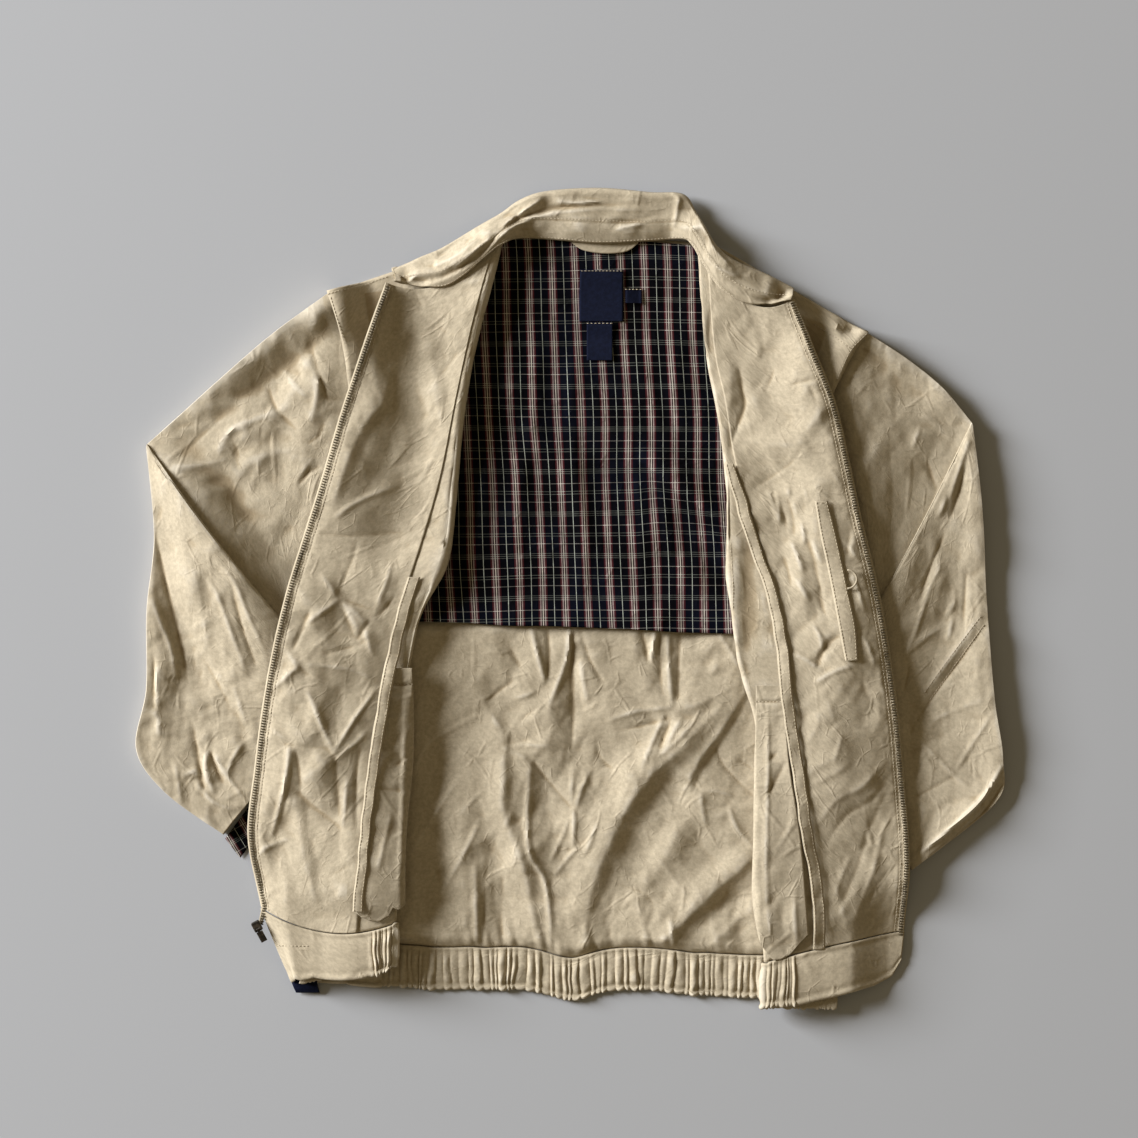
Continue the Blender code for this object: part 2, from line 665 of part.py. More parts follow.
def slider_place(grid):
    """Where the slider lies: at the lower end of the right zip, level with its tape."""
    return np.array([SLIDER_AT[0], SLIDER_AT[1], grid[-1, 0, 2] - SLIDER_HEIGHT / 4])


def block(name, size, center, bevel):
    """A rounded block, made from a cube, in the frame of the slider."""
    bpy.ops.mesh.primitive_cube_add(size=1)
    made = bpy.context.object
    made.name = name
    for vertex in made.data.vertices:
        vertex.co = [(vertex.co[axis] * size[axis] + center[axis]) * MM for axis in range(3)]
    if bevel:
        edge = made.modifiers.new("Rounded", "BEVEL")
        edge.width = bevel * MM
        edge.segments = 2
    return made


def joined(name, pieces, finish, folder):
    """One closed solid from several that overlap."""
    first = pieces[0]
    for piece in pieces[1:]:
        union = first.modifiers.new("Joined", "BOOLEAN")
        union.operation = "UNION"
        union.object = piece
    bpy.context.view_layer.update()
    mesh = bpy.data.meshes.new_from_object(first.evaluated_get(bpy.context.evaluated_depsgraph_get()))
    for piece in pieces:
        bpy.data.objects.remove(piece)
    mesh.name = name
    mesh.materials.clear()
    return add_object(name, mesh, finish, folder)


def add_slider(place, folder):
    """The slider's body with two lugs, and the pull tab whose barrel turns between them."""
    pivot = bpy.data.objects.new("slider_pivot", None)
    pivot.location = place * MM
    pivot.rotation_euler = (0, 0, SLIDER_TURN)
    folder.objects.link(pivot)
    lug_height = 2 * PIVOT_RISE
    parts = [block("body", (SLIDER_LENGTH, SLIDER_WIDTH, SLIDER_HEIGHT), (0, 0, SLIDER_HEIGHT / 2), 1.1)]
    for side in (-1, 1):
        center = (PIVOT_FORWARD, side * LUG_ASIDE, SLIDER_HEIGHT + lug_height / 2 - LUG_DEPTH)
        parts.append(block("lug", (LUG_LENGTH, LUG_THICKNESS, lug_height), center, 0.3))
    slider = joined("zip_slider", parts, "dark_metal", folder)
    slider.parent = pivot
    hinge = bpy.data.objects.new("pull_tab_hinge", None)
    hinge.parent = pivot
    hinge.location = (PIVOT_FORWARD * MM, 0, (SLIDER_HEIGHT + PIVOT_RISE) * MM)
    hinge.rotation_euler = (0, -TAB_DROOP, 0)
    folder.objects.link(hinge)
    barrel_length = 2 * (LUG_ASIDE - LUG_THICKNESS / 2 - BARREL_PLAY)
    bpy.ops.mesh.primitive_cylinder_add(vertices=16, radius=BARREL * MM, depth=barrel_length * MM)
    barrel = bpy.context.object
    barrel.data.transform(Matrix.Rotation(math.pi / 2, 4, "X"))
    neck = block("neck", (TAB_NECK_LENGTH, TAB_NECK_WIDTH, TAB_THICKNESS), (1.6, 0, 0), 0)
    plate_size = (TAB_LENGTH - PLATE_FROM, TAB_WIDTH, TAB_THICKNESS)
    plate = block("plate", plate_size, ((TAB_LENGTH + PLATE_FROM) / 2, 0, 0), 0.4)
    tab = joined("zip_pull_tab", [plate, neck, barrel], "dark_metal", folder)
    tab.parent = hinge


def add_button_loop(ground, folder):
    """A half-round loop of cord at the edge of the inner pocket's welt."""
    turn = np.linspace(-0.5, 0.5, 9) * math.pi
    x = LOOP_AT[0] + LOOP_RADIUS * np.cos(turn)
    y = LOOP_AT[1] + LOOP_RADIUS * np.sin(turn)
    z = ground.under(x, y, reach=8, soften=4) + GAP + LOOP_CORD
    line = bpy.data.curves.new("inner_pocket_loop", "CURVE")
    line.dimensions = "3D"
    spline = line.splines.new("POLY")
    spline.points.add(len(turn) - 1)
    for point, place in zip(spline.points, np.column_stack([x, y, z])):
        point.co = (*(place * MM), 1)
    line.bevel_depth = LOOP_CORD * MM
    line.bevel_resolution = 2
    line.use_fill_caps = True
    add_object("inner_pocket_loop", line, "twill", folder)


def main():
    """Empties the scene and lays the jacket down piece by piece."""
    for startup in list(bpy.data.objects):
        bpy.data.objects.remove(startup)
    folder = bpy.data.collections.new("harrington_jacket")
    bpy.context.scene.collection.children.link(folder)
    ground = Ground()
    back = add_back(ground, folder)
    add_back_band(back, ground, folder)
    add_strip("hem_label", HEM_LABEL, 4, 3, LABEL, "navy_tape", ground, folder)
    add_back_lining(ground, folder)
    add_ribbon("hanger_loop", HANGER_LOOP, 9, 3, LABEL, "twill", ground, folder)
    add_strip("neck_label", NECK_LABEL, 4, 3, LABEL, "navy_tape", ground, folder)
    add_strip("size_tab", SIZE_TAB, 2, 2, LABEL, "navy_tape", ground, folder)
    add_strip("care_label", CARE_LABEL, 3, 2, LABEL, "navy_tape", ground, folder)
    add_sleeve("right_sleeve", RIGHT_UPPER_ARM, RIGHT_FOREARM, -1, ground, folder)
    add_sleeve("left_sleeve", LEFT_UPPER_ARM, LEFT_FOREARM, 1, ground, folder)
    add_ribbon("right_cuff_lining", RIGHT_CUFF_LINING, 4, 3, LINING, "plaid", ground, folder, on_floor=True)
    right, right_top = add_front("right_front", RIGHT_FRONT, -1, ground, folder)
    left, left_top = add_front("left_front", LEFT_FRONT, 1, ground, folder)
    add_facing("right_facing", right_top, ground, folder)
    add_facing("left_facing", left_top, ground, folder)
    add_strip("right_pocket_bag", RIGHT_POCKET_BAG, 10, 4, POCKET_BAG, "pocketing", ground, folder)
    add_strip("left_pocket_bag", LEFT_POCKET_BAG, 11, 4, POCKET_BAG, "pocketing", ground, folder)
    add_strip("inner_pocket_welt", INNER_POCKET_WELT, 9, 3, WELT, "twill", ground, folder)
    add_button_loop(ground, folder)
    add_front_band("waistband_right_front", right, RIGHT_BAND, -1, ground, folder)
    add_front_band("waistband_left_front", left, LEFT_BAND, 1, ground, folder)
    add_zip_tape("right_zip_tape", right, -1, RIGHT_ZIP_TAIL, folder)
    add_zip_tape("left_zip_tape", left, 1, LEFT_ZIP_TAIL, folder)
    add_ribbon("collar", COLLAR_ROWS, 28, 6, COLLAR, "twill", ground, folder)
    add_slider(slider_place(right), folder)


main()
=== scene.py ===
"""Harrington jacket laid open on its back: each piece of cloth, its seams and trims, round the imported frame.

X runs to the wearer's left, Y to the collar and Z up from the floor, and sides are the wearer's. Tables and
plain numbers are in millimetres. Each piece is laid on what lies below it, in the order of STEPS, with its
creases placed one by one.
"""

import math
from collections import namedtuple

import bmesh
import bpy
import numpy as np
from bpy.props import FloatProperty, FloatVectorProperty, PointerProperty
from bpy.types import Operator, Panel, PropertyGroup
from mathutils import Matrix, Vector
from mathutils.geometry import delaunay_2d_cdt


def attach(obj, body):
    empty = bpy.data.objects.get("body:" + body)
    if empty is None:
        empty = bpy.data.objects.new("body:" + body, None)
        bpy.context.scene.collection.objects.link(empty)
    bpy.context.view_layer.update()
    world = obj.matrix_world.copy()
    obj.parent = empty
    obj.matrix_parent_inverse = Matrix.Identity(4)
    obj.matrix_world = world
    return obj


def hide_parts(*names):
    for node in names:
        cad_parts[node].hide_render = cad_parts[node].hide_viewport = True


bl_info = {
    "name": "Harrington Jacket",
    "version": (1, 0, 0),
    "blender": (4, 5, 0),
    "location": "3D View > Sidebar > Jacket",
    "description": "Makes a harrington jacket that lies open, piece by piece",
    "category": "Add Mesh",
}

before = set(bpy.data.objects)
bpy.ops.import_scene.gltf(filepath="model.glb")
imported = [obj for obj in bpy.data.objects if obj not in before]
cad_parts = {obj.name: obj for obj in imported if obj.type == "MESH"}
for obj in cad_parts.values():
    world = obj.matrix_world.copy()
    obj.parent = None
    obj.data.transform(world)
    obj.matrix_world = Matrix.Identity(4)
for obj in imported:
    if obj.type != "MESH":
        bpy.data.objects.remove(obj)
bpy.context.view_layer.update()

MM = 0.001

# Room between pieces
GAP = 0.5  # clear height between two pieces that lie on each other
SEAM = 0.45  # clear width between two pieces that are sewn edge to edge

# Garment sizes
BAND_HEIGHT = 41.0
BAND = 3.0  # waistband: two layers of twill over elastic
BACK_PLEATS = 62
FRONT_PLEATS = 7
UNDER_PLEATS = 16

# Back shell, waist to shoulder: left edge, right edge, and how far the middle rises above the chord
Back = namedtuple("Back", "left_x left_y right_x right_y rise")
BACK = [
    Back(-250, -316, 249, -333, 0),
    Back(-255, -195, 262, -212, 0),
    Back(-262, -75, 275, -92, 0),
    Back(-270, 60, 288, 35, 0),
    Back(-246, 172, 282, 141, 20),
    Back(-222, 284, 277, 247, 72),
]
LINING_HEM = Back(-262, -17, 276, -37, 0)

# Fronts, collar to waist: zip edge, edge of the facing, folded edge, side seam or armhole, bow of the row
Front = namedtuple("Front", "zip_x zip_y facing_x facing_y fold_x fold_y side_x side_y bow")
RIGHT_FRONT = [
    Front(-169, 292, -72, 326, -63, 330, -223, 284, -20),
    Front(-187, 240, -91, 252, -83, 254, -210, 240, -6),
    Front(-209, 175, -106, 181, -98, 182, -203, 172, 0),
    Front(-228, 110, -122, 110, -105, 110, -220, 111, 0),
    Front(-250, 42, -145, 40, -113, 42, -242, 50, 0),
    Front(-268, -25, -165, -25, -139, -27, -258, -25, 0),
    Front(-281, -90, -178, -92, -149, -92, -263, -90, 0),
    Front(-290, -155, -188, -158, -151, -158, -259, -160, 0),
    Front(-297, -220, -196, -225, -155, -226, -255, -235, -4),
    Front(-285, -286, -203, -294, -157, -298, -250, -316, -16),
]
LEFT_FRONT = [
    Front(209, 278, 127, 330, 118, 336, 277, 247, -31),
    Front(226, 233, 133, 235, 126, 236, 256, 213, -8),
    Front(246, 182, 143, 182, 136, 182, 240, 170, 0),
    Front(259, 127, 153, 122, 145, 120, 252, 110, 0),
    Front(270, 75, 170, 72, 145, 72, 262, 60, 0),
    Front(285, 15, 187, 12, 147, 12, 277, 8, 0),
    Front(297, -50, 199, -52, 155, -52, 279, -60, 0),
    Front(306, -115, 203, -118, 173, -118, 272, -125, 0),
    Front(312, -180, 211, -183, 176, -183, 265, -190, 0),
    Front(316, -245, 220, -252, 175, -252, 258, -258, 0),
    Front(312, -308, 226, -326, 180, -336, 249, -333, 2),
]

# Sleeves: the outline side and the side that lies under the front, armhole to elbow and elbow to cuff
Sleeve = namedtuple("Sleeve", "outer_x outer_y inner_x inner_y")
RIGHT_UPPER_ARM = [
    Sleeve(-223, 284, -271, 60),
    Sleeve(-275, 246, -275, 32),
    Sleeve(-322, 205, -273, 2),
    Sleeve(-391, 143, -271, -30),
]
RIGHT_FOREARM = [
    Sleeve(-391, 143, -271, -30),
    Sleeve(-384, 60, -270, -45),
    Sleeve(-391, -10, -269, -60),
    Sleeve(-392, -85, -268, -78),
    Sleeve(-401, -140, -266, -98),
    Sleeve(-373, -181, -265, -118),
    Sleeve(-320, -219, -263, -141),
]
LEFT_UPPER_ARM = [
    Sleeve(278, 247, 289, 35),
    Sleeve(316, 222, 293, 12),
    Sleeve(347, 196, 292, -6),
    Sleeve(374, 163, 290, -22),
]
LEFT_FOREARM = [
    Sleeve(374, 163, 290, -22),
    Sleeve(383, 85, 287, -45),
    Sleeve(388, -5, 285, -70),
    Sleeve(395, -93, 283, -95),
    Sleeve(403, -150, 281, -120),
    Sleeve(396, -190, 279, -145),
    Sleeve(318, -252, 276, -175),
]

# Collar, right end to left end: outer edge, neck seam, and the height of the roll
Collar = namedtuple("Collar", "outer_x outer_y seam_x seam_y roll")
COLLAR_ROWS = [
    Collar(-164, 305, -160, 293, 2),
    Collar(-138, 316, -136, 289, 5),
    Collar(-117, 325, -115, 288, 3),
    Collar(-91, 341, -98, 297, 2.4),
    Collar(-64, 357, -80, 312, 8),
    Collar(-45, 370, -62, 326, 13),
    Collar(-20, 378, -38, 334, 15),
    Collar(28, 381, 26, 329, 16),
    Collar(76, 377, 72, 331, 16),
    Collar(107, 375, 104, 333, 14),
    Collar(120, 356, 114, 327, 11),
    Collar(136, 328, 125, 308, 8),
    Collar(152, 314, 142, 285, 8),
    Collar(183, 301, 170, 272, 6),
    Collar(209, 288, 206, 276, 3),
]

# Flat pieces that lie on the others: left and right edge of each row
Strip = namedtuple("Strip", "y left right")
RIGHT_POCKET_BAG = [
    Strip(-64, -166, -144),
    Strip(-115, -179, -143),
    Strip(-157, -184, -144),
    Strip(-220, -190, -150),
    Strip(-288, -197, -151),
]
LEFT_POCKET_BAG = [
    Strip(-80, 173, 196),
    Strip(-111, 173, 200),
    Strip(-155, 172, 204),
    Strip(-220, 171, 214),
    Strip(-275, 170, 219),
    Strip(-322, 177, 222),
]
INNER_POCKET_WELT = [
    Strip(90, 227, 238),
    Strip(59, 232, 246),
    Strip(32, 238, 252),
    Strip(7, 243, 257),
    Strip(-26, 249, 264),
    Strip(-57, 255, 266),
]
RIGHT_BINDING = [
    Strip(20, -148, -137),
    Strip(-25, -161, -150),
    Strip(-70, -171, -160),
    Strip(-120, -179, -169),
    Strip(-165, -186, -176),
    Strip(-220, -192, -183),
    Strip(-250, -195, -186),
    Strip(-288, -199, -190),
]
LEFT_BINDING = [
    Strip(124, 145, 152),
    Strip(106, 149, 159),
    Strip(90, 154, 165),
    Strip(75, 158, 169),
    Strip(40, 170, 180),
    Strip(0, 184, 194),
    Strip(-50, 192, 203),
    Strip(-100, 197, 208),
    Strip(-165, 207, 218),
    Strip(-220, 215, 226),
    Strip(-270, 224, 235),
    Strip(-324, 226, 237),
]
NECK_LABEL = [Strip(305, 11, 51), Strip(281, 10, 51), Strip(257, 10, 51)]
SIZE_TAB = [Strip(287, 53, 68), Strip(274, 53, 68)]
CARE_LABEL = [Strip(256, 17, 41), Strip(238, 17, 41), Strip(221, 17, 41)]
HEM_LABEL = [Strip(-320, -270, -240), Strip(-343, -262, -236), Strip(-366, -253, -231)]

LABELS = (
    ("neck_patch", NECK_LABEL, "neck_label"),
    ("size_patch", SIZE_TAB, "size_tab"),
    ("care_patch", CARE_LABEL, "care_label"),
    ("hem_patch", HEM_LABEL, "hem_label"),
)

# The lower edge of a pocket bag: the place, from one side (0) to the other (1), and how far it hangs down
BagFoot = namedtuple("BagFoot", "place down")
RIGHT_BAG_FOOT = [
    BagFoot(0, 0),
    BagFoot(0.12, 5),
    BagFoot(0.3, 9),
    BagFoot(0.5, 10),
    BagFoot(0.68, 5),
    BagFoot(0.76, -3),
    BagFoot(0.9, -1),
    BagFoot(1, -6),
]
LEFT_BAG_FOOT = [
    BagFoot(0, -4),
    BagFoot(0.14, 6),
    BagFoot(0.28, 12),
    BagFoot(0.45, 11),
    BagFoot(0.62, 7),
    BagFoot(0.8, -4),
    BagFoot(1, -14),
]

# Stitched seams that belong to no one piece's edge, as points (x, y)
SEAM_STITCHES = [
    ((-221, 281), (-195, 289), (-169, 298)),
    ((-219, 277), (-213, 257), (-207, 236)),
    ((229, 254), (245, 243), (259, 232)),
    ((275, 244), (262, 231), (254, 216), (248, 202)),
    ((384, -25), (360, -59), (336, -93)),
    ((381, -17), (355, -52), (331, -86)),
    ((150, 50), (152, 14), (152, -20)),
]

# How high the roll of the collar stands, from its outer edge (0) to its neck seam (1): places, then heights
COLLAR_BOW = ([0, 0.04, 0.12, 0.58, 0.62, 0.67, 1], [0.55, 0.92, 1.0, 0.64, 0.5, 0.53, 0.1])

# Ribbons: one long edge and the other, from end to end
Ribbon = namedtuple("Ribbon", "x0 y0 x1 y1")
HANGER_LOOP = [
    Ribbon(3, 330, 5, 333),
    Ribbon(14, 323, 16, 331),
    Ribbon(34, 320, 34, 330),
    Ribbon(54, 322, 52, 331),
    Ribbon(65, 330, 63, 333),
]
RIGHT_CUFF_LINING = [
    Ribbon(-305, -241, -319, -223),
    Ribbon(-284, -213, -296, -192),
    Ribbon(-263, -184, -273, -161),
]

# Waistbands of the fronts: the place, from the zip (0) by the folded edge (1) to the side (2), how far aside
# the band slants there, and its height
BandCut = namedtuple("BandCut", "place drop height")
RIGHT_BAND = [
    BandCut(0, 29, 70),
    BandCut(0.1, 22, 61),
    BandCut(0.2, 10, 54),
    BandCut(0.3, 4, 51),
    BandCut(0.42, 0, 44),
    BandCut(1, 0, 42),
    BandCut(2, 0, 41),
]
LEFT_BAND = [
    BandCut(0, -3, 28),
    BandCut(0.09, 0, 41),
    BandCut(0.22, 0, 46),
    BandCut(0.5, 0, 48),
    BandCut(0.8, 0, 48),
    BandCut(1, 0, 43),
    BandCut(2, 0, 47),
]

# Creases: how high the crest stands (less than nothing for a trough), how far it reaches to each side, how
# much steeper it is on the side away from the window, and the path of points (x, y) that it runs through
Crease = namedtuple("Crease", "height reach lean path")


def crease_rows(*rows):
    """A table of creases from rows of height, reach and lean, with the points of the path after them."""
    return [Crease(*row[:3], row[3:]) for row in rows]


BACK_CREASES = crease_rows(
    (8.5, 20, 0.3, (170, -74), (138, -103), (102, -140), (74, -166), (51, -200), (36, -232), (21, -272),
     (12, -345)),
    (-2.2, 20, 0, (104, -162), (78, -192), (60, -228), (44, -268), (34, -318)),
    (6, 13, 0.5, (168, -80), (143, -119), (119, -153), (107, -182)),
    (5.5, 14, 0.4, (180, -232), (147, -261), (116, -290), (76, -328)),
    (-4, 14, 0.2, (176, -262), (142, -286), (104, -320)),
    (5, 14, 0.3, (178, -282), (150, -304), (122, -330)),
    (4.5, 22, 0.2, (130, -176), (106, -210), (84, -248), (54, -306)),
    (3, 14, 0.2, (112, -262), (90, -286), (64, -324)),
    (5.5, 14, 0.5, (-78, -104), (-63, -124), (-60, -160), (-62, -188), (-54, -218), (-40, -255),
     (-36, -285), (-27, -335)),
    (5, 11, 0.5, (-35, -148), (-38, -200), (-36, -236), (-22, -262), (-17, -300), (-16, -340)),
    (3, 11, 0.4, (-86, -240), (-86, -285), (-84, -335)),
    (-1.8, 10, 0, (-76, -246), (-78, -285), (-80, -330)),
    (-3.5, 8, 0, (-61, -256), (-62, -290), (-62, -330)),
    (-3.2, 8, 0, (4, -30), (3, -62), (4, -105), (3, -145)),
    (-3, 8, 0, (-20, -24), (-18, -50), (-20, -76)),
    (-3, 8, 0, (10, -24), (20, -58), (35, -82)),
    (4, 9, 0.4, (-36, -22), (-29, -50), (-21, -80)),
    (2.4, 7, 0.3, (11, -55), (14, -78), (18, -98)),
    (4, 10, 0.3, (1, -24), (-2, -58), (-20, -102)),
    (-3, 8, 0, (66, -24), (75, -60)),
    (4, 8, 0.3, (82, -24), (76, -60)),
    (3, 9, 0.1, (92, -26), (93, -60), (96, -104)),
    (-3, 6, 0, (104, -28), (102, -60), (101, -98)),
    (-2, 5, 0, (84, -34), (85, -66), (88, -92)),
    (3, 8, 0.3, (136, -26), (148, -46), (160, -66)),
    (3, 7, 0.2, (35, -114), (62, -105), (97, -101)),
    (-2.5, 8, 0, (43, -124), (70, -118), (97, -110)),
    (4, 12, 0.3, (96, -106), (128, -94), (164, -76)),
    (2.4, 6, 0.4, (106, -108), (96, -126), (88, -144)),
    (-3, 5, 0, (97, -110), (89, -128), (84, -142)),
    (2.6, 7, 0.5, (124, -104), (104, -128), (84, -146)),
    (3, 7, 0.4, (90, -106), (78, -132), (66, -162)),
    (-3.5, 8, 0, (-34, -150), (-20, -168), (6, -198)),
    (2.5, 7, 0.2, (-36, -150), (-48, -144), (-62, -138)),
    (2.5, 8, 0.2, (-62, -140), (-42, -136), (-18, -137)),
    (3, 7, 0.4, (6, -196), (12, -178), (22, -156)),
    (4, 5, 0, (5, -192), (5, -212), (4, -234)),
    (3, 7, 0.3, (2, -200), (-6, -222), (-19, -248)),
    (3, 7, 0.3, (10, -230), (0, -240), (-14, -258)),
    (3, 6, 0.3, (27, -206), (22, -220), (14, -240)),
    (-2.5, 6, 0, (25, -140), (33, -152), (42, -160)),
    (2, 6, 0.3, (5, -150), (3, -172), (3, -192)),
    (-2.5, 7, 0, (-76, -96), (-62, -84), (-48, -74)),
    (2.5, 6, 0.3, (-72, -104), (-68, -114), (-61, -120)),
    (-2.5, 6, 0, (-44, -66), (-50, -54), (-56, -44)),
    (2.5, 6, 0.2, (-52, -92), (-40, -90), (-28, -84)),
    (-2, 5, 0, (-45, -116), (-38, -108), (-28, -101)),
    (2, 8, 0.3, (-78, -106), (-106, -120), (-132, -137), (-144, -164)),
    (2.5, 9, 0.3, (-80, -202), (-98, -238), (-120, -278)),
    (2, 9, 0.3, (-98, -162), (-124, -200), (-148, -240)),
    (2, 7, 0.2, (-78, -178), (-90, -188), (-102, -202)),
    (2.5, 6, 0.2, (123, -178), (138, -179), (154, -184)),
    (2.5, 6, 0.3, (123, -178), (124, -194), (128, -214)),
    (-2, 6, 0, (104, -164), (114, -172), (124, -178)),
    (-1.2, 4, 0, (70, -188), (98, -212), (140, -245), (176, -270)),
    (1.4, 4, 0.2, (78, -233), (98, -260), (122, -292)),
    (-2.2, 5, 0, (44, -265), (60, -270), (72, -275), (82, -290)),
    (-3, 6, 0.2, (136, -138), (146, -158), (176, -188)),
    (-2.5, 5, 0, (155, -148), (166, -155), (178, -164)),
    (3.5, 6, 0.2, (148, -192), (157, -214), (176, -236)),
    (4, 8, 0.4, (94, -296), (96, -310), (98, -330)),
)
LINING_CREASES = crease_rows(
    (5, 16, 0.5, (62, 134), (88, 116), (112, 97), (144, 70)),
    (-2, 10, 0, (58, 124), (84, 106), (108, 86), (140, 60)),
    (3, 18, 0.2, (-40, 180), (-12, 120), (20, 60)),
    (4, 14, 0.2, (-84, 250), (-76, 150), (-88, 40)),
    (4, 13, 0.2, (-38, 290), (-30, 200), (-46, 90), (-52, -10)),
    (4.5, 12, 0.2, (6, 240), (2, 150), (14, 60), (10, -10)),
    (4, 11, 0.2, (56, 138), (66, 90), (70, 10)),
    (4, 11, 0.2, (84, 112), (92, 60), (96, -10)),
    (4, 11, 0.2, (112, 86), (120, 40), (122, -20)),
    (3.5, 13, 0.2, (108, 250), (98, 190), (112, 140)),
    (2.5, 14, 0.2, (40, 250), (70, 200), (84, 150)),
    (2.5, 12, 0.2, (-90, 40), (-50, 20), (-10, 30)),
    (3, 12, 0.2, (-100, 180), (-80, 100), (-84, 30)),
    (2, 10, 0.2, (50, 175), (56, 140), (48, 110)),
)
RIGHT_FRONT_CREASES = crease_rows(
    (-3.5, 14, 0, (-160, 276), (-165, 228), (-158, 195)),
    (5, 13, 0.3, (-162, 230), (-170, 185), (-190, 158), (-206, 120), (-219, 80)),
    (-4, 12, 0, (-182, 248), (-198, 194), (-217, 142)),
    (-3.5, 14, 0, (-157, 188), (-165, 142), (-185, 102), (-207, 76)),
    (3.5, 11, 0.2, (-218, 73), (-190, 92), (-154, 106)),
    (-4, 17, 0, (-145, 246), (-146, 190), (-142, 122)),
    (3.5, 14, 0.3, (-130, 248), (-124, 202), (-116, 150)),
    (-1.5, 5, 0, (-131, 256), (-118, 250), (-104, 240)),
    (-1.5, 5, 0, (-99, 233), (-110, 216), (-121, 203)),
    (2, 6, 0.3, (-124, 133), (-132, 116), (-142, 103)),
    (-2.5, 7, 0.2, (-238, 61), (-196, 58), (-148, 63)),
    (-2, 6, 0, (-194, 58), (-200, 35), (-213, 3)),
    (3, 9, 0.3, (-209, 1), (-224, -10), (-242, -23)),
    (2.5, 7, 0.1, (-211, 1), (-220, 12), (-229, 24)),
    (2.5, 7, 0.3, (-209, 0), (-202, -14), (-193, -29)),
    (-2, 6, 0, (-208, -1), (-194, -6), (-178, -11)),
    (-2.5, 7, 0, (-177, -17), (-168, -8), (-159, 4)),
    (3, 6, 0.2, (-163, 34), (-168, 16), (-177, -8)),
    (-4.5, 9, 0, (-237, -10), (-246, -30), (-255, -50)),
    (-2.5, 7, 0, (-209, -8), (-202, -24), (-194, -42)),
    (-2.5, 7, 0, (-183, -19), (-190, -30), (-197, -42)),
    (-2.5, 7, 0, (-227, -51), (-206, -46), (-185, -39)),
    (2.2, 6, 0.3, (-207, -3), (-195, -14), (-183, -27)),
    (2.2, 6, 0.3, (-188, -25), (-185, -38), (-181, -54)),
    (3.2, 8, 0.3, (-246, -61), (-258, -70), (-274, -85)),
    (2.5, 6, 0, (-248, -63), (-254, -56), (-262, -46)),
    (-2, 5, 0, (-250, -61), (-243, -67), (-234, -73)),
    (2.5, 7, 0.3, (-244, -60), (-202, -65), (-175, -77)),
    (5, 11, 0.4, (-242, -81), (-226, -118), (-216, -143)),
    (4.5, 7, 0.5, (-176, -81), (-198, -112), (-217, -144)),
    (-3.5, 13, 0, (-212, -80), (-213, -100), (-214, -128)),
    (2.5, 6, 0.3, (-183, -119), (-198, -134), (-214, -147)),
    (-1.6, 5, 0, (-266, -134), (-242, -136), (-219, -138)),
    (2.2, 6, 0.2, (-278, -116), (-268, -124), (-256, -132)),
    (5, 8, 0.6, (-257, -133), (-261, -170), (-276, -225)),
    (-3.5, 7, 0, (-252, -138), (-248, -160), (-247, -186)),
    (-5.5, 10, 0, (-254, -174), (-238, -190), (-222, -202), (-208, -213)),
    (3.5, 14, 0.2, (-246, -168), (-230, -156), (-216, -147)),
    (2.5, 5, 0.4, (-204, -164), (-206, -190), (-209, -214)),
    (-3, 8, 0, (-215, -146), (-213, -176), (-211, -204)),
    (-3.2, 8, 0, (-191, -136), (-196, -165), (-195, -218)),
    (4.5, 12, 0.3, (-254, -174), (-248, -215), (-240, -255), (-230, -292)),
    (3.5, 7, 0.3, (-292, -248), (-281, -231), (-254, -220)),
    (-2.5, 6, 0, (-198, -243), (-210, -250), (-223, -257)),
    (-2, 5, 0, (-210, -266), (-217, -272), (-225, -277)),
    (-2, 5, 0, (-218, -276), (-210, -282), (-202, -288)),
    (4, 14, 0.2, (-276, -180), (-284, -220), (-270, -270)),
    (3, 14, 0.2, (-236, 20), (-222, -40), (-205, -78)),
)
